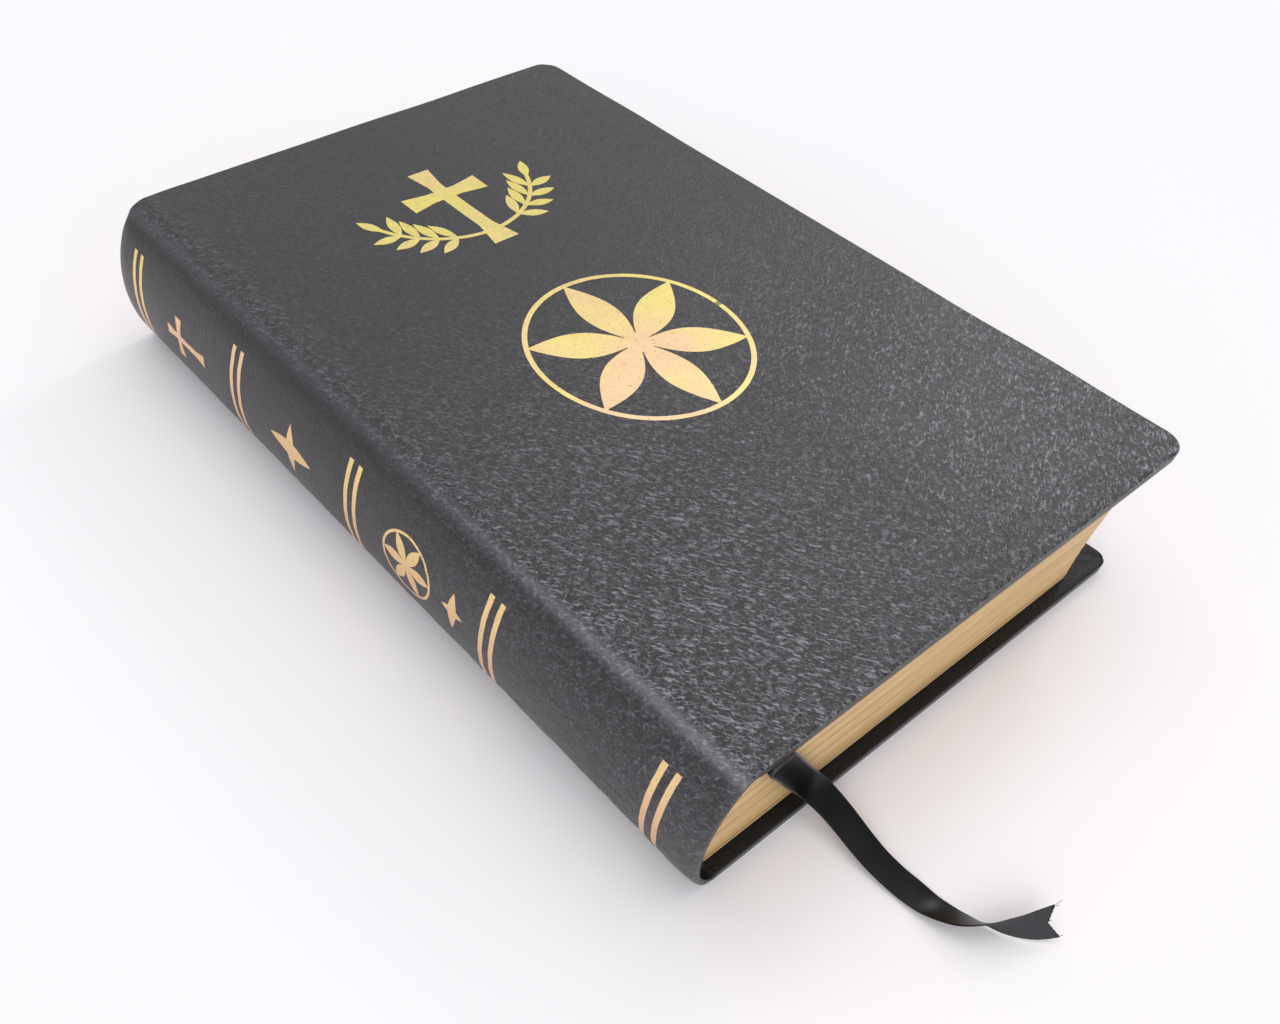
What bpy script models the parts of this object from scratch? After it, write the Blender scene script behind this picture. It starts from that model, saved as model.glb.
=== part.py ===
"""Bible in a flexible leather case, lying closed on its back cover.

Frame: +X from the spine to the fore-edge, +Y from the tail to the head, +Z up.
The origin is under the middle of the closed case, on the plane that it lies on.
The case is one hide over two limp boards. The sewn page block is rounded at its
spine and leans a little, so its upper pages reach further to the fore-edge.
"""
import math

import bmesh
import bpy
from mathutils import Vector

# Driving dimensions, in metres
CASE_WIDTH = 0.150          # outermost point of the spine to the fore-edge
CASE_HEIGHT = 0.216         # tail to head
CASE_THICKNESS = 0.0405     # back cover's outside to front cover's outside
GAP = 0.0003                # clearance between neighbouring pieces
LEATHER = 0.0010            # thickness of the hide
BOARD = 0.0010              # limp card inside each cover
TURN_IN = 0.0004            # pared hide folded to the inside of a cover
TURN_IN_WIDTH = 0.012
PASTEDOWN = 0.0003
LEAF = 0.0003               # flyleaf of heavier paper
EDGE_WALL = 0.0008          # hide around the rim of a cover
COVER_CORNER = 0.008
EDGE_ROUNDING = 0.0009      # radius along a cover's rim

SECTIONS = 24               # sewn gatherings, numbered from the front
PAGE_WIDTH = 0.130
TAIL_OVERHANG = 0.0032      # case beyond the pages, at tail and head
PAGE_CORNER = 0.005
RIBBON_AFTER = 4            # the ribbon lies behind this section
RIBBON_ROOM = 0.0005        # extra space between the sections for the ribbon
SPINE_EDGE = 0.0093         # pages' left edge at mid thickness, from the spine
SPINE_ROUND = 0.0040        # depth of the rounded back
SPINE_LEAN = 0.0042         # sideways lean of half the block

TAPES = 4                   # sewing tapes, spread evenly over the folds
TAPE_HALF = 0.006
TAPE_SPREAD = 0.6           # outermost tapes, as a share of half the page height
LAYER_START = 0.0005        # spine layers start this far off the folds
LAYER_LOW = 0.0002          # and end this far inside the block, below and above
LAYER_HIGH = 0.0004
MULL_INSET = 0.012          # and this far inside the page height
LINING_INSET = 0.004
ENDBAND_RADIUS = 0.0008
ENDBAND_INSET = 0.0004      # the cord's middle, from the folds towards the pages

SPINE_DEPTH = 0.011         # the spine's section is half an ellipse
SPINE_FACETS = 28
HINGE_X = 0.007             # hinge crease, from the spine's outermost point
HINGE_LIFT = 0.0005         # hinge axes lie this far outside the covers
COVER_START = 0.0079        # a cover's edge at the joint, from the same point
CAP_LENGTH = 0.005          # the spine's ends are turned in over this length
CAP_DROP = 0.0020
INLAY = 0.0006              # card behind the hide of the spine
INLAY_INSET = 0.002         # it ends this far inside the turned-in ends
INLAY_GIRTH = 0.8           # its share of the spine's girth
LEAF_START = 0.002          # flyleaves start this far past the hinge crease
BOARD_START = 0.002         # a board starts this far past the cover's edge
PASTEDOWN_START = 0.004
INNER_CORNER = 0.002        # corner radius of the pastedown and its window
CUTTER_REACH = 0.01         # the cutters run out this far past the joint edge

FOIL_LIFT = 0.0001          # foil stands this far off the hide
FOIL = 0.0001
RULE_PAIRS = 5
RULE_PITCH = 0.0483
RULE_SPACING = 0.0033
RULE_WIDTH = 0.0014
RULE_LENGTH = 0.026
RULES_SHIFT = 0.0006        # middle of the rule pairs, towards the head
ORNAMENT_X = 0.0765         # cover ornament: middle from the spine and the tail
ORNAMENT_Y = 0.1665
ORNAMENT_HEIGHT = 0.038
ORNAMENT_SPAN = 0.024
SPRAY_REACH = 0.028
STEM_HALF = 0.0006
LEAF_LENGTHS = (0.0088, 0.0105)
LEAF_HALF = 0.0019
MEDALLION_X = 0.0745        # medallion: the same
MEDALLION_Y = 0.097
MEDALLION_RADIUS = 0.0274
MEDALLION_RING = 0.0013
SPINE_CROSS = (0.018, 0.0115, 0.0009, 0.0015)   # height, span, half width, flare
LOZENGE = ((0.0075, 0.0016), (0.0085, 0.0022))  # half length and half width of each leaf
ROSETTE_LIFT = 0.003
ROSETTE_RADIUS = 0.0085
ROSETTE_RING = 0.0007
BUD_DROP = 0.013
BUD = ((0.0055, 0.0014), (0.0035, 0.0012))

RIBBON_WIDTH = 0.0065
RIBBON_THICKNESS = 0.0003
RIBBON_SPACING = 0.002      # between the cross sections it is swept through

# Colour (linear), roughness and metallic of each stuff
GILT_PAPER = ((0.60, 0.40, 0.17), 0.45, 0.0)
LEAF_PAPER = ((0.58, 0.50, 0.36), 0.70, 0.0)
BLACK_ENDPAPER = ((0.02, 0.019, 0.018), 0.60, 0.0)
HIDE = ((0.098, 0.095, 0.102), 0.45, 0.0)
CARD = ((0.25, 0.22, 0.18), 0.90, 0.0)
TAPE_CLOTH = ((0.70, 0.66, 0.56), 0.90, 0.0)
MULL_CLOTH = ((0.72, 0.69, 0.60), 0.95, 0.0)
BLACK_LINING = ((0.015, 0.014, 0.013), 0.90, 0.0)
BLACK_THREAD = ((0.01, 0.01, 0.01), 0.70, 0.0)
GOLD = ((0.86, 0.67, 0.27), 0.32, 0.9)
SATIN = ((0.006, 0.006, 0.007), 0.35, 0.0)
CUTTER = ((0.5, 0.5, 0.5), 0.5, 0.0)

HALF_HEIGHT = CASE_HEIGHT / 2
PAGE_HALF = HALF_HEIGHT - TAIL_OVERHANG
MID_Z = CASE_THICKNESS / 2
LEAF_Z = LEATHER + BOARD + TURN_IN + 3 * GAP
BLOCK_LOW = LEAF_Z + LEAF + GAP
BLOCK_HIGH = CASE_THICKNESS - BLOCK_LOW
SPINE_HALF_ANGLE = math.acos(1 - HINGE_X / SPINE_DEPTH)

# Route of the ribbon: distance from the spine, distance from the tail (less
# than zero is beyond the case), height, and the direction towards the side of
# the ribbon that faces the fore-edge where it starts. None is the height of
# the slot between the sections.
RIBBON_ROUTE = (
    (0.0170, 0.2030, None, (1.00, 0.00, 0.00)),
    (0.0170, 0.1200, None, (1.00, 0.00, 0.00)),
    (0.0180, 0.0400, None, (1.00, 0.00, 0.00)),
    (0.0192, 0.0100, None, (1.00, 0.00, 0.00)),
    (0.0196, 0.0050, None, (1.00, 0.00, 0.00)),
    (0.0198, 0.0032, None, (1.00, 0.00, 0.00)),
    (0.0201, 0.0021, 0.0307, (1.00, 0.00, 0.05)),
    (0.0214, 0.0016, 0.0292, (0.95, 0.00, 0.30)),
    (0.0246, 0.0015, 0.0250, (0.87, 0.00, 0.50)),
    (0.0305, 0.0015, 0.0161, (0.87, 0.00, 0.50)),
    (0.0368, 0.0012, 0.0080, (0.88, 0.00, 0.45)),
    (0.0402, 0.0006, 0.0048, (0.96, 0.00, 0.20)),
    (0.0418, -0.0010, 0.0040, (1.00, 0.00, 0.00)),
    (0.0422, -0.0030, 0.0027, (1.00, 0.00, 0.00)),
    (0.0419, -0.0070, 0.0014, (1.00, -0.06, 0.00)),
    (0.0405, -0.0160, 0.0007, (1.00, -0.12, 0.00)),
    (0.0398, -0.0235, 0.0006, (1.00, -0.04, 0.00)),
    (0.0398, -0.0296, 0.0009, (0.98, 0.05, -0.17)),
    (0.0410, -0.0345, 0.0020, (0.78, 0.35, -0.50)),
    (0.0432, -0.0382, 0.0031, (0.41, 0.35, -0.84)),
    (0.0470, -0.0420, 0.0036, (-0.06, -0.07, -1.00)),
    (0.0515, -0.0450, 0.0034, (-0.32, -0.48, -0.82)),
    (0.0548, -0.0468, 0.0038, (-0.37, -0.64, -0.67)),
)


def from_spine(distance):
    """X of a point this far from the spine's outermost point, under its foil."""
    return distance - (CASE_WIDTH - FOIL_LIFT - FOIL) / 2


HINGES = {
    "front": Vector((from_spine(HINGE_X), 0, CASE_THICKNESS + HINGE_LIFT)),
    "back": Vector((from_spine(HINGE_X), 0, -HINGE_LIFT)),
}


def page_edge(z):
    """X of the folded edge of the page block at height z."""
    u = (z - MID_Z) / (BLOCK_HIGH - MID_Z)
    return from_spine(SPINE_EDGE + SPINE_ROUND * u * u + SPINE_LEAN * u)


# Helpers

def make_material(name, colour, roughness, metallic=0.0):
    material = bpy.data.materials.new(name)
    material.use_nodes = True
    shader = material.node_tree.nodes["Principled BSDF"]
    shader.inputs["Base Color"].default_value = (*colour, 1.0)
    shader.inputs["Roughness"].default_value = roughness
    shader.inputs["Metallic"].default_value = metallic
    material.diffuse_color = (*colour, 1.0)
    return material


def add_object(name, bm, look, hinge=None):
    """Finish a bmesh as a named object, with its origin on its hinge if it has one."""
    bmesh.ops.recalc_face_normals(bm, faces=bm.faces)
    if bm.calc_volume(signed=True) < 0:
        bmesh.ops.reverse_faces(bm, faces=bm.faces)
    if hinge is not None:
        bmesh.ops.translate(bm, verts=bm.verts, vec=-hinge.location)
    mesh = bpy.data.meshes.new(name)
    bm.to_mesh(mesh)
    bm.free()
    colour, roughness, metallic = look
    mesh.materials.append(make_material(name, colour, roughness, metallic))
    piece = bpy.data.objects.new(name, mesh)
    bpy.context.scene.collection.objects.link(piece)
    if hinge is not None:
        piece.parent = hinge
    return piece


def add_hinge(name, place):
    empty = bpy.data.objects.new(name, None)
    empty.location = place
    empty.empty_display_size = 0.01
    bpy.context.scene.collection.objects.link(empty)
    return empty


def smooth(piece, degrees=40):
    piece.data.shade_smooth()
    piece.data.set_sharp_from_angle(angle=math.radians(degrees))


def bevel_modifier(piece, width, segments, degrees=50):
    bevel = piece.modifiers.new("rounded edges", "BEVEL")
    bevel.width = width
    bevel.segments = segments
    bevel.limit_method = "ANGLE"
    bevel.angle_limit = math.radians(degrees)


def boolean_modifier(piece, other, operation):
    cut = piece.modifiers.new(other.name, "BOOLEAN")
    cut.operation = operation
    cut.object = other
    cut.solver = "EXACT"
    other.hide_render = True
    other.display_type = "WIRE"


def prism(outline, low, high, bm=None):
    """Closed prism from a flat outline of (x, y) points, extruded from low to high."""
    bm = bm or bmesh.new()
    corners = [bm.verts.new((x, y, low)) for x, y in outline]
    face = bm.faces.new(corners)
    grown = bmesh.ops.extrude_face_region(bm, geom=[face])["geom"]
    top = [item for item in grown if isinstance(item, bmesh.types.BMVert)]
    bmesh.ops.translate(bm, verts=top, vec=(0, 0, high - low))
    return bm


def sheet_outline(x_low, x_high, half_height, corner, steps=6):
    """Rectangle whose two corners at the fore-edge are rounded."""
    points = [(x_low, -half_height)]
    for side in (-1, 1):
        start = -90 if side < 0 else 0
        for step in range(steps + 1):
            turn = math.radians(start + 90 * step / steps)
            points.append((x_high - corner + corner * math.cos(turn),
                           side * (half_height - corner) + corner * math.sin(turn)))
    points.append((x_low, half_height))
    return points


def box_outline(x_low, x_high, y_low, y_high):
    return [(x_low, y_low), (x_high, y_low), (x_high, y_high), (x_low, y_high)]


def arc(centre, radius, start, stop, steps):
    """Points on a circular arc, angles in degrees."""
    turns = (math.radians(start + (stop - start) * i / steps) for i in range(steps + 1))
    return [(centre[0] + radius * math.cos(t), centre[1] + radius * math.sin(t)) for t in turns]


def lens_outline(root, tip, half_width, steps=6):
    """Leaf or petal between two points, bounded by two equal arcs."""
    root, tip = Vector(root), Vector(tip)
    along = tip - root
    across = Vector((-along.y, along.x)).normalized() * half_width
    rise = [math.sin(math.pi * i / steps) for i in range(steps + 1)]
    right = [root + along * i / steps - across * rise[i] for i in range(steps + 1)]
    left = [root + along * i / steps + across * rise[i] for i in range(steps - 1, 0, -1)]
    return [tuple(point) for point in right + left]


def stroke_outline(points, half_width):
    """Band of constant width along a flat path."""
    left, right = [], []
    for i, point in enumerate(points):
        before, after = points[max(i - 1, 0)], points[min(i + 1, len(points) - 1)]
        along = Vector((after[0] - before[0], after[1] - before[1])).normalized()
        left.append((point[0] - along.y * half_width, point[1] + along.x * half_width))
        right.append((point[0] + along.y * half_width, point[1] - along.x * half_width))
    return left + right[::-1]


def joined_prism(name, outlines, low, high):
    """One closed body that is the union of several overlapping prisms."""
    parts = []
    for number, outline in enumerate(outlines):
        bm = prism(outline, low, high)
        bmesh.ops.recalc_face_normals(bm, faces=bm.faces)
        mesh = bpy.data.meshes.new(f"{name}_{number}")
        bm.to_mesh(mesh)
        bm.free()
        part = bpy.data.objects.new(mesh.name, mesh)
        bpy.context.scene.collection.objects.link(part)
        parts.append(part)
    for other in parts[1:]:
        boolean_modifier(parts[0], other, "UNION")
    bpy.context.view_layer.update()
    evaluated = parts[0].evaluated_get(bpy.context.evaluated_depsgraph_get())
    bm = bmesh.new()
    bm.from_mesh(evaluated.to_mesh())
    evaluated.to_mesh_clear()
    for part in parts:
        bpy.data.objects.remove(part, do_unlink=True)
    bmesh.ops.remove_doubles(bm, verts=bm.verts, dist=0.00002)
    bmesh.ops.dissolve_limit(bm, angle_limit=math.radians(1), verts=bm.verts, edges=bm.edges)
    return bm


# Curved spine: a flat strip, with x across the spine and z its height off the
# hide, is scored at the facets and then laid on the half ellipse.

def spine_facets():
    """Points and outward normals across the spine, and their distance along it."""
    points, normals, distance = [], [], []
    for i in range(SPINE_FACETS + 1):
        turn = SPINE_HALF_ANGLE * (2 * i / SPINE_FACETS - 1)
        point = Vector((from_spine(SPINE_DEPTH * (1 - math.cos(turn))), 0,
                        MID_Z + MID_Z * math.sin(turn)))
        normal = Vector((-math.cos(turn) / SPINE_DEPTH, 0, math.sin(turn) / MID_Z)).normalized()
        distance.append(distance[-1] + (point - points[-1]).length if points else 0.0)
        points.append(point)
        normals.append(normal)
    middle = distance[-1] / 2
    return points, normals, [d - middle for d in distance]


FACET_POINTS, FACET_NORMALS, FACET_DISTANCE = spine_facets()
SPINE_HALF_GIRTH = FACET_DISTANCE[-1]


def on_spine(across, along, height):
    """Point on the spine, at a distance across it from its middle line."""
    across = min(max(across, -SPINE_HALF_GIRTH), SPINE_HALF_GIRTH)
    i = min(sum(d <= across + 1e-9 for d in FACET_DISTANCE) - 1, SPINE_FACETS - 1)
    share = (across - FACET_DISTANCE[i]) / (FACET_DISTANCE[i + 1] - FACET_DISTANCE[i])
    low = FACET_POINTS[i] + FACET_NORMALS[i] * height
    high = FACET_POINTS[i + 1] + FACET_NORMALS[i + 1] * height
    place = low.lerp(high, share)
    return Vector((place.x, along, place.z))


def wrap_on_spine(bm, drop=lambda across, along: 0.0, scores=()):
    """Score a flat strip at every facet and lay it on the spine."""
    cuts = [((distance, 0, 0), (1, 0, 0)) for distance in FACET_DISTANCE[1:-1]]
    cuts += [((0, along, 0), (0, 1, 0)) for along in scores]
    for place, normal in cuts:
        geometry = bm.verts[:] + bm.edges[:] + bm.faces[:]
        bmesh.ops.bisect_plane(bm, geom=geometry, dist=1e-7, plane_co=place, plane_no=normal)
    for vert in bm.verts:
        across, along, height = vert.co
        vert.co = on_spine(across, along, height - drop(across, along))
    return bm


def strip_on_spine(half_width, half_length, low, high, centre=0.0):
    return prism(box_outline(-half_width, half_width, centre - half_length,
                             centre + half_length), low, high)


# Page block

def section_heights():
    """Lower and upper height of every section, first section on top."""
    room = BLOCK_HIGH - BLOCK_LOW - RIBBON_ROOM - (SECTIONS - 1) * GAP
    thickness = room / SECTIONS
    top, heights = BLOCK_HIGH, []
    for number in range(1, SECTIONS + 1):
        heights.append((top - thickness, top))
        top -= thickness + GAP
        if number == RIBBON_AFTER:
            top -= RIBBON_ROOM
    return heights


def add_sections(hinges):
    for number, (low, high) in enumerate(section_heights(), start=1):
        fold = page_edge((low + high) / 2)
        outline = sheet_outline(fold, fold + PAGE_WIDTH, PAGE_HALF, PAGE_CORNER, 4)
        bm = prism(outline, low, high)
        folded = [e for e in bm.edges
                  if all(abs(v.co.x - fold) < 1e-6 for v in e.verts) and e.calc_length() > 0.1]
        bmesh.ops.bevel(bm, geom=folded, offset=(high - low) * 0.48, segments=3, affect="EDGES")
        add_object(f"section_{number:02d}", bm, GILT_PAPER, hinges.get(number))


def add_flyleaf(name, low, hinge):
    """Heavier leaf next to a cover, reaching from the joint to the fore-edge."""
    left = from_spine(HINGE_X + LEAF_START)
    right = page_edge(min(max(low, BLOCK_LOW), BLOCK_HIGH)) + PAGE_WIDTH
    bm = prism(sheet_outline(left, right, PAGE_HALF, PAGE_CORNER), low, low + LEAF)
    add_object(name, bm, LEAF_PAPER, hinge)


def curved_layer(offset, thickness, y_low, y_high, z_low, z_high, steps=10):
    """Thin layer that follows the rounded back of the pages."""
    heights = [z_low + (z_high - z_low) * i / steps for i in range(steps + 1)]
    outer = [(page_edge(z) - offset - thickness, z) for z in heights]
    inner = [(page_edge(z) - offset, z) for z in reversed(heights)]
    bm = prism(outer + inner, y_low, y_high)
    for vert in bm.verts:
        x, z, y = vert.co
        vert.co = (x, y, z)
    return bm


def add_spine_layers():
    """Sewing tapes on the folds, open-weave cloth over them, and a paper lining."""
    low, high = BLOCK_LOW + LAYER_LOW, BLOCK_HIGH - LAYER_HIGH
    offset = LAYER_START
    for number in range(TAPES):
        centre = PAGE_HALF * TAPE_SPREAD * (2 * number / (TAPES - 1) - 1)
        bm = curved_layer(offset, GAP, centre - TAPE_HALF, centre + TAPE_HALF, low, high)
        add_object(f"sewing_tape_{number + 1}", bm, TAPE_CLOTH)
    offset += 2 * GAP
    reach = PAGE_HALF - MULL_INSET
    add_object("spine_mull", curved_layer(offset, GAP, -reach, reach, low, high), MULL_CLOTH)
    offset += 2 * GAP
    reach = PAGE_HALF - LINING_INSET
    lining = curved_layer(offset, GAP, -reach, reach, low, high)
    add_object("spine_lining_paper", lining, BLACK_LINING)


def add_endband(name, side, steps=12):
    """Round cord at the end of the folds, covered in black thread."""
    low, high = BLOCK_LOW + ENDBAND_RADIUS, BLOCK_HIGH - 2 * ENDBAND_RADIUS
    curve = bpy.data.curves.new(name, "CURVE")
    curve.dimensions = "3D"
    curve.bevel_depth = ENDBAND_RADIUS
    curve.bevel_resolution = 2
    curve.use_fill_caps = True
    spline = curve.splines.new("POLY")
    spline.points.add(steps)
    for i, point in enumerate(spline.points):
        z = low + (high - low) * i / steps
        y = side * (PAGE_HALF + GAP + ENDBAND_RADIUS)
        point.co = (page_edge(z) + ENDBAND_INSET, y, z, 1.0)
    curve.materials.append(make_material(name, *BLACK_THREAD))
    band = bpy.data.objects.new(name, curve)
    bpy.context.scene.collection.objects.link(band)


# Covers

def add_cover(side, hinge):
    """Hide with a rounded rim and turned-in edges, its board and its pastedown."""
    upper = side == "front"

    def layer(start, thickness):
        """Lower and upper height of a layer counted from the cover's outside."""
        low = CASE_THICKNESS - start - thickness if upper else start
        return low, low + thickness

    left = from_spine(COVER_START)
    right = from_spine(CASE_WIDTH)
    depth = LEATHER + BOARD + TURN_IN + 2 * GAP
    low, high = layer(0, depth)
    hide = prism(sheet_outline(left, right, HALF_HEIGHT, COVER_CORNER, 8), low, high)
    leather = add_object(f"{side}_cover_leather", hide, HIDE, hinge)
    bevel_modifier(leather, EDGE_ROUNDING, 3)

    pocket_low, pocket_high = layer(LEATHER, BOARD + 2 * GAP)
    pocket = prism(sheet_outline(left - CUTTER_REACH, right - EDGE_WALL, HALF_HEIGHT - EDGE_WALL,
                                 COVER_CORNER - EDGE_WALL, 8), pocket_low, pocket_high)
    window_low, window_high = layer(LEATHER + GAP, depth)
    window = prism(sheet_outline(left - CUTTER_REACH, right - TURN_IN_WIDTH,
                                 HALF_HEIGHT - TURN_IN_WIDTH, INNER_CORNER, 2),
                   window_low, window_high)
    for name, cutter in (("pocket", pocket), ("window", window)):
        guide = add_object(f"{side}_{name}_cutter", cutter, CUTTER, hinge)
        boolean_modifier(leather, guide, "DIFFERENCE")
    smooth(leather)

    low, high = layer(LEATHER + GAP, BOARD)
    inset = EDGE_WALL + GAP
    board = prism(sheet_outline(left + BOARD_START, right - inset, HALF_HEIGHT - inset,
                                COVER_CORNER - inset), low, high)
    add_object(f"{side}_board", board, CARD, hinge)

    low, high = layer(LEATHER + BOARD + 2 * GAP, PASTEDOWN)
    inset = TURN_IN_WIDTH + GAP
    paper = prism(sheet_outline(left + PASTEDOWN_START, right - inset, HALF_HEIGHT - inset,
                                INNER_CORNER, 2), low, high)
    add_object(f"{side}_pastedown", paper, BLACK_ENDPAPER, hinge)


def add_spine():
    """Hide over the spine, turned in at head and tail, and the card inlay behind it."""
    def cap_drop(across, along):
        beyond = max(0.0, abs(along) - (HALF_HEIGHT - CAP_LENGTH)) / CAP_LENGTH
        between_joints = max(0.0, 1 - (across / SPINE_HALF_GIRTH) ** 4)
        return CAP_DROP * between_joints * (1 - math.sqrt(max(0.0, 1 - beyond * beyond)))

    steps = 5
    scores = [side * (HALF_HEIGHT - CAP_LENGTH * (1 - math.sin(math.pi / 2 * i / steps)))
              for side in (-1, 1) for i in range(steps)]
    strip = strip_on_spine(SPINE_HALF_GIRTH, HALF_HEIGHT, -LEATHER, 0)
    smooth(add_object("spine_leather", wrap_on_spine(strip, cap_drop, scores), HIDE))
    high = -LEATHER - GAP
    inlay = strip_on_spine(SPINE_HALF_GIRTH * INLAY_GIRTH, HALF_HEIGHT - CAP_LENGTH - INLAY_INSET,
                           high - INLAY, high)
    add_object("spine_inlay", wrap_on_spine(inlay), CARD)


# Gold foil

def flared_bar(start, end, half_width, flare):
    """Bar of a cross, a little wider at its free end."""
    start, end = Vector(start), Vector(end)
    along = (end - start).normalized()
    across = Vector((-along.y, along.x))
    neck = end - along * flare * 2.2
    points = [start - across * half_width, neck - across * half_width,
              end - across * flare, end + across * flare,
              neck + across * half_width, start + across * half_width]
    return [tuple(point) for point in points]


def cross_outlines(centre, height, arm_span, half_width, flare):
    """Latin cross with flared ends."""
    x, y = centre
    crossing = y + height * 0.18
    return [
        flared_bar((x, crossing - 2 * half_width), (x, y + height / 2), half_width, flare),
        flared_bar((x, crossing + half_width), (x, y - height / 2), half_width, flare * 1.15),
        flared_bar((x + half_width * 0.5, crossing), (x - arm_span / 2, crossing),
                   half_width, flare),
        flared_bar((x - half_width * 0.5, crossing), (x + arm_span / 2, crossing),
                   half_width, flare),
    ]


def spray_outlines(centre, side, reach, height, leaves=5):
    """Leafy stem that rises in an arc from the foot of the cross to one side."""
    x, y = centre
    start = (x, y - height * 0.36)
    radius = reach * 0.95
    hub = (start[0], start[1] + radius)
    angles = [-90 + side * turn for turn in (0, 17, 34, 51, 68)]
    stem = [(hub[0] + radius * math.cos(math.radians(a)),
             hub[1] + radius * math.sin(math.radians(a))) for a in angles]
    outlines = [stroke_outline(stem, STEM_HALF)]
    for i in range(leaves):
        turn = 22 + 42 * i / (leaves - 1)
        a = math.radians(-90 + side * turn)
        foot = Vector((hub[0] + radius * math.cos(a), hub[1] + radius * math.sin(a)))
        heading = math.radians((turn if side > 0 else 180 - turn))
        for spread in ((0,) if i == leaves - 1 else (-48, 48)):
            way = heading + math.radians(spread)
            length = LEAF_LENGTHS[spread * side > 0]
            tip = foot + Vector((math.cos(way), math.sin(way))) * length
            outlines.append(lens_outline(foot, tip, LEAF_HALF))
    return outlines


def rosette_outlines(centre, radius, ring_width, petals=6):
    """Ring around a compass-drawn rosette with a small disc in its middle."""
    x, y = centre
    outlines = [arc(centre, radius * 0.13, 0, 360 - 30, 11)]
    petal_tip = radius - ring_width * 0.5
    for i in range(petals):
        turn = math.radians(90 + 360 * i / petals)
        tip = (x + petal_tip * math.cos(turn), y + petal_tip * math.sin(turn))
        outlines.append(lens_outline(centre, tip, radius * 0.17))
    half = radius - ring_width
    for start in (0, 180):
        rim = arc(centre, radius, start - 3, start + 183, 28)
        inner = arc(centre, half, start + 183, start - 3, 28)
        outlines.append(rim + inner)
    return outlines


def crossed_leaves(centre, sizes):
    """Two leaves across each other, one level and one upright."""
    x, y = centre
    (level, level_half), (upright, upright_half) = sizes
    return [lens_outline((x - level, y), (x + level, y), level_half),
            lens_outline((x, y - upright), (x, y + upright), upright_half)]


def add_cover_foils(hinge):
    low = CASE_THICKNESS + FOIL_LIFT
    place = (from_spine(ORNAMENT_X), ORNAMENT_Y - HALF_HEIGHT)
    outlines = cross_outlines(place, ORNAMENT_HEIGHT, ORNAMENT_SPAN, 0.0021, 0.0034)
    for side in (-1, 1):
        outlines += spray_outlines(place, side, SPRAY_REACH, ORNAMENT_HEIGHT)
    add_object("cover_ornament_foil", joined_prism("ornament", outlines, low, low + FOIL),
               GOLD, hinge)
    place = (from_spine(MEDALLION_X), MEDALLION_Y - HALF_HEIGHT)
    outlines = rosette_outlines(place, MEDALLION_RADIUS, MEDALLION_RING)
    add_object("cover_medallion_foil", joined_prism("medallion", outlines, low, low + FOIL),
               GOLD, hinge)


def add_spine_foils():
    first = RULES_SHIFT - RULE_PITCH * (RULE_PAIRS - 1) / 2
    low, high = FOIL_LIFT, FOIL_LIFT + FOIL
    for number in range(2 * RULE_PAIRS):
        pair, line = divmod(number, 2)
        centre = first + RULE_PITCH * pair + RULE_SPACING * (line - 0.5)
        rule = strip_on_spine(RULE_LENGTH / 2, RULE_WIDTH / 2, low, high, centre)
        add_object(f"spine_rule_{number + 1:02d}", wrap_on_spine(rule), GOLD)
    panels = [first + RULE_PITCH * (i + 0.5) for i in range(RULE_PAIRS - 1)]
    ornaments = {
        "spine_cross_foil": cross_outlines((0, panels[3]), *SPINE_CROSS),
        "spine_lozenge_foil": crossed_leaves((0, panels[2]), LOZENGE),
        "spine_rosette_foil": rosette_outlines((0, panels[1] + ROSETTE_LIFT), ROSETTE_RADIUS,
                                               ROSETTE_RING),
        "spine_bud_foil": crossed_leaves((0, panels[1] - BUD_DROP), BUD),
    }
    for name, outlines in ornaments.items():
        add_object(name, wrap_on_spine(joined_prism(name, outlines, low, high)), GOLD)


# Ribbon marker

def smooth_route(rows, spacing, most=8):
    """Read a Catmull-Rom curve through the rows; their first three numbers are a place."""
    points = [Vector(row) for row in rows]
    padded = [2 * points[0] - points[1]] + points + [2 * points[-1] - points[-2]]
    result = []
    for a, b, c, d in zip(padded, padded[1:], padded[2:], padded[3:]):
        count = max(1, min(most, round(Vector((c - b)[:3]).length / spacing)))
        for step in range(count):
            t = step / count
            result.append(0.5 * (2 * b + (c - a) * t + (2 * a - 5 * b + 4 * c - d) * t * t
                                 + (3 * b - a - 3 * c + d) * t ** 3))
    return result + [points[-1]]


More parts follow.
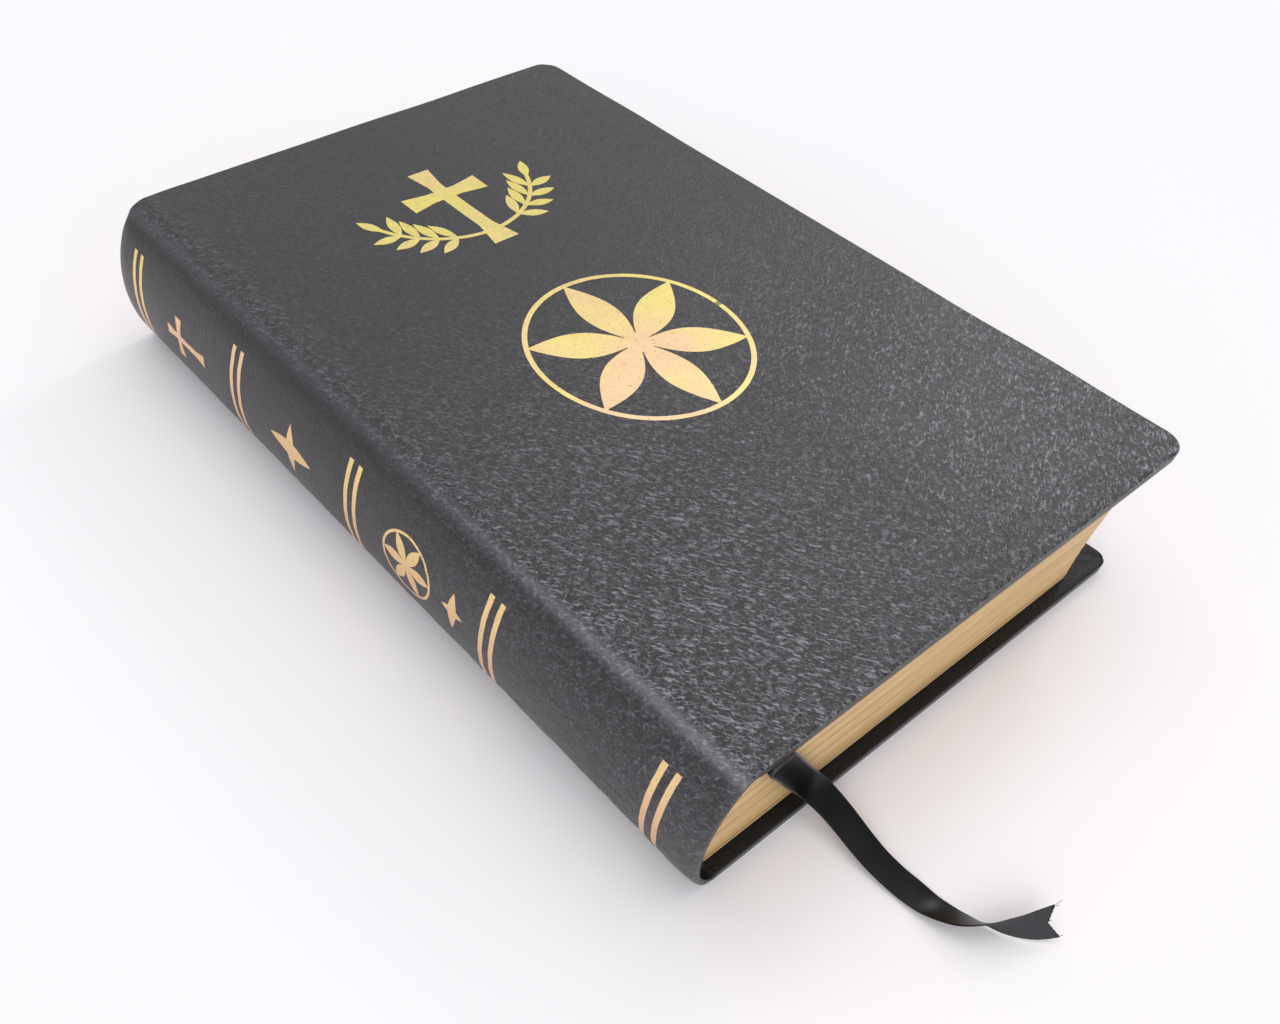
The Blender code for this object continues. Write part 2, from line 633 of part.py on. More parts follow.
def add_ribbon():
    """Flat ribbon, swept along its route with its width towards each row's direction."""
    heights = section_heights()
    slot = (heights[RIBBON_AFTER][1] + heights[RIBBON_AFTER - 1][0]) / 2
    rows = [(from_spine(x), y - HALF_HEIGHT, slot if z is None else z, *side)
            for x, y, z, side in RIBBON_ROUTE]
    stations = smooth_route(rows, RIBBON_SPACING)
    middle = [Vector(station[:3]) for station in stations]
    bm = bmesh.new()
    loops = []
    for i, point in enumerate(middle):
        along = (middle[min(i + 1, len(middle) - 1)] - middle[max(i - 1, 0)]).normalized()
        side = Vector(stations[i][3:])
        side = (side - along * side.dot(along)).normalized()
        half = side * RIBBON_WIDTH / 2
        thick = side.cross(along) * RIBBON_THICKNESS / 2
        corners = (point - half - thick, point + half - thick,
                   point + half + thick, point - half + thick)
        loops.append([bm.verts.new(corner) for corner in corners])
    for before, after in zip(loops, loops[1:]):
        for k in range(4):
            a, b, c, d = before[k], before[(k + 1) % 4], after[(k + 1) % 4], after[k]
            if k == 0:      # both faces of the ribbon are split along the same diagonal
                halves = ((a, b, c), (a, c, d))
            else:
                halves = ((a, b, d), (b, c, d))
            for corners in halves:
                bm.faces.new(corners)
    bm.faces.new(loops[0][::-1])
    bm.faces.new(loops[-1])
    smooth(add_object("ribbon_marker", bm, SATIN))


def build():
    for leftover in list(bpy.data.objects):
        bpy.data.objects.remove(leftover, do_unlink=True)
    front_hinge = add_hinge("front_cover_hinge", HINGES["front"])
    front_leaf_hinge = add_hinge("front_flyleaf_turn", HINGES["front"])
    first_hinge = add_hinge("first_sections_turn", HINGES["front"])
    second_hinge = add_hinge("second_sections_turn", HINGES["front"])
    back_hinge = add_hinge("back_cover_hinge", HINGES["back"])
    back_leaf_hinge = add_hinge("back_flyleaf_turn", HINGES["back"])
    add_sections({1: first_hinge, 2: first_hinge, 3: second_hinge, 4: second_hinge})
    add_flyleaf("front_flyleaf", CASE_THICKNESS - LEAF_Z - LEAF, front_leaf_hinge)
    add_flyleaf("back_flyleaf", LEAF_Z, back_leaf_hinge)
    add_spine_layers()
    add_endband("headband", 1)
    add_endband("tailband", -1)
    add_cover("front", front_hinge)
    add_cover("back", back_hinge)
    add_spine()
    add_cover_foils(front_hinge)
    add_spine_foils()
    add_ribbon()


build()
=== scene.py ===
# %% [markdown]
# # A bible in a limp black leather case
#
# The book lies closed on its back cover: one hide over two thin boards, a rounded
# spine with gold rules, gilt page edges and a satin ribbon marker that runs out at
# the tail onto the table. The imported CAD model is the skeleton. It gives every
# size and every moving body, and this lesson dresses it piece by piece.

# %% Load the frame
import math

import bmesh
import bpy
import numpy as np
from mathutils import Matrix, Vector


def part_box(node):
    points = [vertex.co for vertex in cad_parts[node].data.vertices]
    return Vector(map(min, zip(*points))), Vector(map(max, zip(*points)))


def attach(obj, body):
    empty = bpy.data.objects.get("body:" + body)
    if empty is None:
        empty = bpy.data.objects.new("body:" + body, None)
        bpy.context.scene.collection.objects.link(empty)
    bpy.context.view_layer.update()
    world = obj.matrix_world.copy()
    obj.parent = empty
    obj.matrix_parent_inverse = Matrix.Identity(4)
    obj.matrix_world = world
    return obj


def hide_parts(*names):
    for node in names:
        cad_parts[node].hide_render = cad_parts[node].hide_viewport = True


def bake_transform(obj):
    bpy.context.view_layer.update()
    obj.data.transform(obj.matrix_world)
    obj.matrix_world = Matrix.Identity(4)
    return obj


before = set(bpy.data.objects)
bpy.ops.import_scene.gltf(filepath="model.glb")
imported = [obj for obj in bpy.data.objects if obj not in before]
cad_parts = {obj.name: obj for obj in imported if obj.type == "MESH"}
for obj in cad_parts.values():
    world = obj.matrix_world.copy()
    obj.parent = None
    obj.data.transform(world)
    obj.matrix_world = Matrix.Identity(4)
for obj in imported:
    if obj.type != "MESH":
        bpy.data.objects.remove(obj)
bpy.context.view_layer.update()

MM = 0.001
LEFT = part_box("spine_leather")[0].x                      # outermost point of the spine
RIGHT, HALF_HEIGHT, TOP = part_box("front_cover_leather")[1]     # fore-edge, head, upper side
MIDDLE = TOP / 2
print(f"case {1000 * (RIGHT - LEFT):.1f} x {2000 * HALF_HEIGHT:.1f} x {1000 * TOP:.1f} mm")

# %% [markdown]
# ## Camera
#
# The camera stands close over the spine's tail end and looks down at about fifty
# degrees with a slightly wide lens, so the tail looks larger than the head. The
# matrix is made from the directions to its right, up and forward. The shift slides
# the frame over the film without turning the camera, which keeps the perspective.

# %% Make the camera
def turned(right, up, forward, place):
    """Matrix whose columns are the camera's right, its up, the way behind it, and its place."""
    columns = [Vector(right), Vector(up), -Vector(forward)]
    rows = [[column[row] for column in columns] + [place[row]] for row in range(3)]
    return Matrix(rows + [(0, 0, 0, 1)])


camera = bpy.data.objects.new("camera", bpy.data.cameras.new("camera"))
bpy.context.scene.collection.objects.link(camera)
camera.matrix_world = turned(
    right=(0.78242, -0.62116, 0.04441), up=(0.45539, 0.61934, 0.63956),
    forward=(0.42478, 0.48018, -0.76746), place=(-0.17483, -0.15378, 0.20534))
camera.data.sensor_width = 36
camera.data.lens = 32.5
camera.data.shift_x = 0.1365
camera.data.shift_y = 0.0769
camera.data.clip_start = 0.01
bpy.context.scene.camera = camera
bpy.context.scene.view_settings.view_transform = "Standard"
print("camera height", round(camera.matrix_world.translation.z, 3), "m")

# %% [markdown]
# ## From arrays to meshes
#
# Every new piece is a few grids of points, worked out as whole numpy arrays. One
# function turns grids into a mesh: it joins neighbours in each grid by faces, welds
# the grids where their borders meet, and turns all faces outwards. A value that
# belongs to each point, such as how strongly rubbing and a painted highlight show,
# can be stored with it for the material.

# %% Turn grids into a mesh
WELD = 1e-6


def grid_faces(rows, columns, first):
    """Corner numbers of a grid's faces: each point, its right, diagonal and lower neighbour."""
    corner = first + (np.arange(rows - 1)[:, None] * columns + np.arange(columns - 1)[None, :])
    return np.stack([corner, corner + 1, corner + columns + 1, corner + columns], -1).reshape(-1, 4)


def piece(name, grids, kinds=None, values=None, angle=40):
    """Mesh object from grids of points (rows, columns, 3); kinds gives each grid's material number,
    values gives named numbers per point, one array for each grid."""
    faces, first = [], 0
    for grid in grids:
        faces.append(grid_faces(grid.shape[0], grid.shape[1], first))
        first += grid.shape[0] * grid.shape[1]
    mesh = bpy.data.meshes.new(name)
    points = np.concatenate([grid.reshape(-1, 3) for grid in grids])
    mesh.from_pydata(points.tolist(), [], np.concatenate(faces).tolist())
    for label, arrays in (values or {}).items():
        layer = mesh.attributes.new(label, "FLOAT", "POINT")
        joined = np.concatenate([array.ravel() for array in arrays])
        layer.data.foreach_set("value", joined.astype(np.float32))
    numbers = np.repeat(kinds or [0] * len(grids), [len(f) for f in faces])
    mesh.polygons.foreach_set("material_index", numbers.astype(np.int32))
    bm = bmesh.new()
    bm.from_mesh(mesh)
    bmesh.ops.remove_doubles(bm, verts=bm.verts, dist=WELD)
    bmesh.ops.dissolve_degenerate(bm, edges=bm.edges, dist=WELD)
    bmesh.ops.recalc_face_normals(bm, faces=bm.faces)
    if bm.calc_volume(signed=True) < 0:
        bmesh.ops.reverse_faces(bm, faces=bm.faces)
    bm.to_mesh(mesh)
    bm.free()
    mesh.shade_smooth()
    mesh.set_sharp_from_angle(angle=math.radians(angle))
    made = bpy.data.objects.new(name, mesh)
    bpy.context.scene.collection.objects.link(made)
    print(name, len(mesh.polygons), "faces")
    return made


def rim(grid):
    """Points round the border of a grid, once around, with the first repeated at the end."""
    return np.concatenate([grid[0, :-1], grid[:-1, -1], grid[-1, :0:-1], grid[::-1, 0]])


def slab(name, upper, lower, **more):
    """Closed slab from two grids of the same size, joined by a wall round their borders."""
    return piece(name, [upper, lower, np.stack([rim(upper), rim(lower)])], **more)


# %% [markdown]
# ## Node materials
#
# All finishes are made of shader nodes. One small function adds a node, sets its
# values and links its inputs, so that a material reads as a short list of steps.
# Colours are written as the hex values that painters and web pages use, and one
# function turns them to the linear numbers that a renderer adds up.

# %% Add nodes and colours
def colour(code):
    """sRGB hex to linear RGBA: c/12.92 when dark, ((c+0.055)/1.055)^2.4 otherwise."""
    values = [int(code[i:i + 2], 16) / 255 for i in (1, 3, 5)]
    return [v / 12.92 if v <= 0.04045 else ((v + 0.055) / 1.055) ** 2.4 for v in values] + [1.0]


def add(tree, kind, inputs=None, stops=None, **settings):
    """Adds a node. inputs maps a socket to a value or to the socket that feeds it, and stops
    are the (place, colour) pairs of a ramp. It gives back the node."""
    node = tree.nodes.new("ShaderNode" + kind)
    for name, value in settings.items():
        setattr(node, name, value)
    for number, (place, shade) in enumerate(stops or []):
        ramp = node.color_ramp.elements
        stop = ramp[number] if number < len(ramp) else ramp.new(place)
        stop.position = place
        stop.color = colour(shade)
    for key, value in (inputs or {}).items():
        if isinstance(value, bpy.types.NodeSocket):
            tree.links.new(value, node.inputs[key])
        else:
            node.inputs[key].default_value = value
    return node


def new_material(name, **sockets):
    """Material with a Principled shader whose sockets are set to fixed values."""
    material = bpy.data.materials.new(name)
    material.use_nodes = True
    shader = material.node_tree.nodes["Principled BSDF"]
    for label, value in sockets.items():
        shader.inputs[label.replace("_", " ")].default_value = value
    return material, material.node_tree, shader


def plug(tree, shader, **outputs):
    """Links each output to the shader's input of that name."""
    for label, output in outputs.items():
        tree.links.new(output, shader.inputs[label.replace("_", " ")])


def dress(thing, *materials):
    """Gives an object these materials, first to last. Clearing the list would set each face back to
    the first material, so a material that is there already is exchanged in its place."""
    slots = thing.data.materials
    for number, material in enumerate(materials):
        if number < len(slots):
            slots[number] = material
        else:
            slots.append(material)
    return thing


# %% [markdown]
# ## Satin ribbon
#
# The marker is a narrow satin ribbon. Satin threads float over several crossing
# threads, so the face is smooth and shines in streaks across the ribbon, while the
# back is duller. The back is painted grey: partly its own matte weave, and partly a
# painted reflection of the white surroundings that it catches at a low angle. The
# pattern follows the ribbon as it twists, so it is drawn from two numbers stored at
# each point: how far across and how far along. Real ribs are about 0.1 mm apart; here
# they are drawn half a millimetre apart so that they show.

# %% Make the satin material
WAVE_PERIOD = 0.314                # a wave texture of scale 1 repeats after this length
RIBS = 640.0
satin, tree, shader = new_material("black_woven_satin", Specular_IOR_Level=0.22)
across, along, back = (add(tree, "Attribute", attribute_name=label).outputs["Fac"]
                       for label in ("across", "along", "back"))
weave = add(tree, "CombineXYZ", {"X": across, "Y": along}).outputs[0]
ribs = add(tree, "TexWave", {"Vector": weave, "Scale": RIBS, "Distortion": 0.4,
                             "Detail": 1.0}, bands_direction="Y")
stretched = add(tree, "VectorMath", {0: weave, 1: (300.0, 2600.0, 1.0)}, operation="MULTIPLY")
floats = add(tree, "TexNoise", {"Vector": stretched.outputs[0], "Scale": 1.0, "Detail": 2.0})
face = add(tree, "ValToRGB", {"Fac": floats.outputs["Fac"]},
           stops=[(0.3, "#020203"), (0.7, "#070708")])
# The back's grey is partly its matte weave and partly a painted reflection of the white
# surroundings.
both_sides = add(tree, "Mix", {0: back, 6: face.outputs[0], 7: colour("#3d3d40")},
                 data_type="RGBA")
gloss = add(tree, "MapRange", {"Value": back, "To Min": 0.30, "To Max": 0.70})
height = add(tree, "Math", {0: ribs.outputs["Fac"], 1: floats.outputs["Fac"]}, operation="ADD")
bump = add(tree, "Bump", {"Strength": 0.2, "Distance": 0.03 * MM, "Height": height.outputs[0]})
plug(tree, shader, Base_Color=both_sides.outputs[2], Roughness=gloss.outputs[0],
     Normal=bump.outputs[0])
print("satin ribs", round(WAVE_PERIOD / RIBS / MM, 2), "mm apart")

# %% [markdown]
# ## Ribbon marker
#
# The ribbon lies between two gatherings, bends over the tail edge of the pages,
# slopes down to the table, and turns over once before its cut tip. A strip is
# carried along a smooth line through a list of places; each place also says which
# way the ribbon's first side points, so the list gives the twist as well.

# %% Work out the ribbon's route
RIBBON_WIDTH = 6.5 * MM
section_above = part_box("section_04")
section_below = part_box("section_05")
SLOT = (section_above[0].z + section_below[1].z) / 2     # height of the gap between them

# distance from the spine, from the tail, height, and the direction of one side
ROUTE = np.array([
    (17.0, 203.0, SLOT / MM, 1.00, 0.00, 0.00), (17.0, 120.0, SLOT / MM, 1.00, 0.00, 0.00),
    (18.0, 40.0, SLOT / MM, 1.00, 0.00, 0.00), (19.2, 10.0, SLOT / MM, 1.00, 0.00, 0.00),
    (19.6, 5.0, SLOT / MM, 1.00, 0.00, 0.00), (19.8, 3.2, SLOT / MM, 1.00, 0.00, 0.00),
    (20.1, 2.1, 30.7, 1.00, 0.00, 0.05), (21.6, 1.6, 29.0, 0.95, 0.00, 0.30),
    (24.8, 1.5, 24.6, 0.88, 0.00, 0.47), (30.0, 1.4, 17.2, 0.88, 0.00, 0.47),
    (34.6, 1.0, 11.0, 0.90, 0.00, 0.43), (37.3, -0.8, 7.5, 0.93, 0.00, 0.36),
    (38.5, -3.8, 5.4, 0.96, 0.02, 0.27), (38.9, -7.6, 3.9, 0.98, 0.03, 0.18),
    (38.8, -12.0, 2.6, 0.99, 0.02, 0.10), (38.7, -16.9, 1.5, 1.00, 0.00, 0.03),
    (38.9, -21.5, 0.9, 1.00, -0.03, 0.00), (39.3, -25.5, 0.7, 1.00, -0.03, 0.00),
    (39.8, -29.8, 0.9, 0.98, 0.05, -0.17),
    (41.0, -34.5, 2.0, 0.78, 0.35, -0.50), (43.2, -38.2, 3.1, 0.41, 0.35, -0.84),
    (47.0, -42.0, 3.6, -0.06, -0.07, -1.00), (51.5, -45.0, 3.4, -0.32, -0.48, -0.82),
    (54.8, -46.8, 3.8, -0.37, -0.64, -0.67)])


def through(rows, steps):
    """Catmull-Rom curve through rows: on each span a cubic whose slope at a row is half the
    step between the rows on either side of it."""
    padded = np.concatenate([[2 * rows[0] - rows[1]], rows, [2 * rows[-1] - rows[-2]]])
    a, b, c, d = (padded[i:len(padded) - 3 + i, None] for i in range(4))
    t = (np.arange(steps) / steps)[None, :, None]
    curve = 0.5 * (2 * b + (c - a) * t + (2 * a - 5 * b + 4 * c - d) * t ** 2
                   + (3 * b - a - 3 * c + d) * t ** 3)
    return np.concatenate([curve.reshape(-1, rows.shape[1]), rows[-1:]])


def unit(vectors):
    """Vectors divided by their lengths."""
    return vectors / np.linalg.norm(vectors, axis=-1, keepdims=True)


smooth_rows = through(ROUTE, 12)
middle_line = smooth_rows[:, :3] * MM + (LEFT, -HALF_HEIGHT, 0)
walked = np.concatenate([[0], np.cumsum(np.linalg.norm(np.diff(middle_line, axis=0), axis=1))])
RIBBON_LENGTH = walked[-1]
print(f"ribbon {1000 * RIBBON_LENGTH:.0f} mm long")

# %% Carry the strip along the route
RIBBON_THICKNESS = 0.24 * MM
NOTCH = 1.9 * MM                   # depth of the V cut at the tip
RAGGED = 0.10 * MM                 # the cut edge wanders this far
CUPPING = 0.10 * MM                # the ribbon is a little hollow across
FLAT_UNTIL = 0.21                  # between the pages it is pressed flat, and free after 20 mm
SELVEDGE = (0.86, 0.35)            # woven edge: from this share of the half width, thicker by
HALF_STEP = 0.5 * MM               # the line's direction is taken between points this far away


def on_line(s, columns):
    """Values of the smooth rows at length s along the line."""
    return np.stack([np.interp(s, walked, column) for column in columns.T], -1)


def ribbon_surface(share_across, share_along, face):
    """Point at s along the line and u across it:
    line(s) + side(s) w u + normal(s) (c (4u^2 - 1) + face t/2).
    s ends earlier near the middle, by notch (1 - |2u|), which cuts the V."""
    u = share_across[None, :] - 0.5
    out = np.abs(2 * u)
    ragged = RAGGED * np.sin(share_across * 71) * (out[0] < 0.98)
    end = RIBBON_LENGTH - NOTCH * (1 - out[0]) + ragged
    s = share_along[:, None] * end[None, :]
    side = unit(on_line(s, smooth_rows[:, 3:]))
    tangent = unit(on_line(s + HALF_STEP, middle_line) - on_line(s - HALF_STEP, middle_line))
    side = unit(side - tangent * (side * tangent).sum(-1, keepdims=True))
    normal = np.cross(side, tangent)
    hollow = CUPPING * (4 * u ** 2 - 1) * np.clip((s - FLAT_UNTIL) / 0.02, 0, 1)
    thick = RIBBON_THICKNESS * (1 + SELVEDGE[1] * (out > SELVEDGE[0]))
    lift = hollow + face * thick / 2 * np.minimum(1, 12 * (1 - out) + 0.25)
    place = on_line(s, middle_line) + side * RIBBON_WIDTH * u[..., None] + normal * lift[..., None]
    return place, u * RIBBON_WIDTH + 0 * s, s


share_across = np.linspace(0, 1, 21)
share_along = np.linspace(0, 1, 420)
upper, across_u, along_u = ribbon_surface(share_across, share_along, 1)
lower, across_l, along_l = ribbon_surface(share_across, share_along, -1)
wall_across, wall_along = (np.stack([rim(a), rim(b)])
                           for a, b in ((across_u, across_l), (along_u, along_l)))
ribbon = slab("ribbon_marker_satin", upper, lower, values={
    "across": [across_u, across_l, wall_across], "along": [along_u, along_l, wall_along],
    "back": [np.ones_like(along_u), np.zeros_like(along_u), np.zeros_like(wall_along)]})
dress(ribbon, satin)
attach(ribbon, "book_block")
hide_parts("ribbon_marker")

# %% [markdown]
# The tip of the ribbon has begun to fray: a few threads of the weave hang free. Each
# is a thin tube along a short arc from the cut edge, and they go with the ribbon.

# %% Add the loose threads
OFF_AXIS = (0.31, 0.17, 0.93)      # any direction that no tube runs along
SIDEWAYS = np.array([0.5, -0.3, 0.0])


def tube(line, radius, sides=6):
    """Closed tube: a circle of points round each point of a line, square to its direction."""
    line = np.asarray(line, float)
    tangent = unit(np.gradient(line, axis=0))
    first = unit(np.cross(tangent, OFF_AXIS))
    second = np.cross(tangent, first)
    turn = np.linspace(0, 2 * np.pi, sides + 1)[None, :, None]
    radii = np.broadcast_to(radius, len(line)).copy()
    radii[[0, -1]] = 1e-9
    return line[:, None] + radii[:, None, None] * (first[:, None] * np.cos(turn)
                                                  + second[:, None] * np.sin(turn))


tip = upper[-1]
away = unit((upper[-1] - upper[-8])[:1])[0]
loose_threads = []
# share of the way across the tip, reach and rise in millimetres
for number, (start, reach, rise) in enumerate([(0.02, 1.5, 1.1), (0.05, 0.9, 0.2),
                                               (0.45, 0.6, 0.2), (0.97, 0.9, -0.3)]):
    t = np.linspace(0, 1, 12)[:, None]
    root = tip[round(start * (len(tip) - 1))]
    side_way = SIDEWAYS * (1 if number % 2 else -1)
    arc = root + (away * reach * t + side_way * reach * 0.4 * t ** 2
                  + np.array([0, 0, rise]) * t ** 2) * MM
    arc[:, 2] = np.maximum(arc[:, 2], 0.15 * MM)
    loose_threads.append(tube(arc, 0.05 * MM))
frayed = dress(piece("ribbon_frayed_threads", loose_threads), satin)
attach(frayed, "book_block")

# %% [markdown]
# ## The hide as one surface
#
# The whole case is one hide, so its outside is worked out once, as a function of two
# lengths: `s`, measured round the case from the middle of the spine, plus towards
# the front cover, and `y`, towards the head. The spine is half an ellipse that runs
# into the flat covers without a corner. Because every piece of leather and every
# piece of foil asks this one function, they meet exactly.

# %% Lay out the outside of the case
SPINE_DEPTH = 11 * MM
RIDGE_ANGLE = math.radians(65.3)     # where the shoulder of the spine stands up
turns = np.linspace(-np.pi / 2, np.pi / 2, 2001)
ellipse_x = SPINE_DEPTH * (1 - np.cos(turns))
ellipse_z = MIDDLE * np.sin(turns)
girth = np.concatenate([[0], np.cumsum(np.hypot(np.diff(ellipse_x), np.diff(ellipse_z)))])
girth -= girth[-1] / 2
FLAT_FROM = girth[-1]                # s where the cover becomes flat
FORE_EDGE = FLAT_FROM + (RIGHT - LEFT) - SPINE_DEPTH
RIDGE = float(np.interp(RIDGE_ANGLE, turns, girth))


def s_at(distance):
    """s on the front side at this distance from the spine's outermost point."""
    if distance > SPINE_DEPTH:
        return FLAT_FROM + distance - SPINE_DEPTH
    return float(np.interp(math.acos(1 - distance / SPINE_DEPTH), turns, girth))


def skin(s):
    """Smooth section of the case: point (x, z) and outward normal at s. It is an ellipse up to
    FLAT_FROM, then straight."""
    turn = np.interp(s, girth, turns)
    x = LEFT + SPINE_DEPTH * (1 - np.cos(turn)) + np.maximum(np.abs(s) - FLAT_FROM, 0)
    z = MIDDLE + MIDDLE * np.sin(turn)
    normal = unit(np.stack([-np.cos(turn) / SPINE_DEPTH, np.sin(turn) / MIDDLE], -1))
    return x, z, normal[..., 0], normal[..., 1]


print(f"half girth of the spine {1000 * FLAT_FROM:.1f} mm, ridge at {1000 * RIDGE:.1f} mm")

# %% [markdown]
# ## What disturbs the surface
#
# Limp leather is never flat. Here are the ups and downs that can be seen and felt: a
# ridge and a groove where the cover bends at the joint, the edge of the turned-in
# leather showing through near the rim, slow waves in the board, and small wrinkles
# that gather on the spine and near the tail. Waves are sums of cosines with seeded
# lengths, directions and phases, so that the surface is the same each time.

# %% Work out the relief of the hide
def waves(a, b, seed, length, heading, spread, count=36):
    """Sum of cosines over (a, b), with wavelengths near length and directions near heading."""
    draw = np.random.default_rng(seed)
    number = 2 * np.pi / (length * draw.uniform(0.7, 1.6, count))
    way = heading + spread * draw.standard_normal(count)
    phase = draw.uniform(0, 2 * np.pi, count)
    total = np.zeros(np.broadcast(a, b).shape)
    for k in range(count):
        total += np.cos(number[k] * (np.cos(way[k]) * a + np.sin(way[k]) * b) + phase[k])
    return total / math.sqrt(count / 2)


def step_up(value, start, end):
    """0 before start, 1 after end, and 3t^2 - 2t^3 between."""
    t = np.clip((value - start) / (end - start), 0, 1)
    return t * t * (3 - 2 * t)


def hump(value, middle, width):
    """1 at the middle, falling off as exp(-t^2) over the width."""
    return np.exp(-((value - middle) / width) ** 2)


# heights in millimetres
RIDGE_UP, GROOVE_BY_SPINE, GROOVE_BY_COVER = 0.42, 0.22, 0.24
TURNED_IN_SHOWS, ITS_EDGE_SHOWS, BOARD_WAVES = 0.10, 0.05, 0.07
ROUGH = {"everywhere": 0.007, "tail": 0.014, "joint": 0.022, "joint at the tail": 0.022}
FINE = 0.004


def relief(s, y, edge):
    """Height of the hide over its smooth section, in metres; edge is the distance from the rim."""
    front = np.abs(s)
    joint = RIDGE_UP * hump(front, RIDGE, 0.65 * MM)
    joint -= GROOVE_BY_SPINE * hump(front, RIDGE - 2.4 * MM, 1.5 * MM)
    joint -= GROOVE_BY_COVER * hump(front, RIDGE + 3.0 * MM, 1.9 * MM)
    fade = 1 - 0.6 * step_up(np.abs(y), HALF_HEIGHT - 8 * MM, HALF_HEIGHT)
    flat_part = step_up(front, RIDGE + 6 * MM, RIDGE + 12 * MM)
    turned_in = TURNED_IN_SHOWS * (1 - step_up(edge, 10.5 * MM, 12.6 * MM))
    turned_in += ITS_EDGE_SHOWS * hump(edge, 11.2 * MM, 0.9 * MM)
    board = BOARD_WAVES * waves(s, y, 5, 46 * MM, 0.6, 1.5, 14)
    near_tail = step_up(-y, -0.2 * HALF_HEIGHT, HALF_HEIGHT)
    near_joint = hump(front, RIDGE, 12 * MM) * (1 - 0.5 * flat_part)
    rim_fade = 0.15 + 0.85 * step_up(edge, 0, 7 * MM)
    wrinkles = waves(s, y, 11, 5.5 * MM, 0.42, 0.45)
    creases = -np.abs(waves(s, y, 23, 7.5 * MM, 0.55, 0.30)) + 0.8
    fine = waves(s, y, 31, 2.9 * MM, 0.42, 0.6, 60)
    rough = rim_fade * (ROUGH["everywhere"] + ROUGH["tail"] * near_tail
                        + (ROUGH["joint"] + ROUGH["joint at the tail"] * near_tail) * near_joint)
    height = joint * fade + flat_part * (turned_in + board)
    height += rough * (wrinkles + 0.8 * creases) + (FINE * rim_fade + 0.5 * rough) * fine
    return height * MM


at_ridge = relief(np.array([RIDGE]), np.array([0.0]), np.array([50 * MM]))[0]
print("relief at the ridge", round(at_ridge / MM, 2), "mm")

# %% [markdown]
# ## Leather
#
# The hide is a dyed and pigmented cowhide with a fine creased grain, finished to a
# satin sheen. Its grain is a net of cells about a millimetre wide, crossed by short
# creases whose direction swings from the joint to the fore-edge. The glints of light on
# the tops of both are painted into the colour as lighter lines, most of all near the
# tail, and the ground between them is painted darker there as shade; a stored grain
# number says how strongly, and how deep the net shows in the bump. The ridge is
# painted lighter, partly for rubbing and partly as a highlight, which a stored ridge
# number controls. The inner side, where the hide is turned in, is blacker and smoother,
# so it gets a finish of its own.

# %% Make the leather material
CREASE_HEADINGS = (math.radians(-56), math.radians(32))   # at the joint, at the fore-edge, from +X
CREASES = (620.0, 2000.0, 1300.0)  # creases per metre along them, across them and upwards
NET = 980.0                        # cells per metre
BENT = 1.4 * MM                    # the net and creases are bent this far by noise


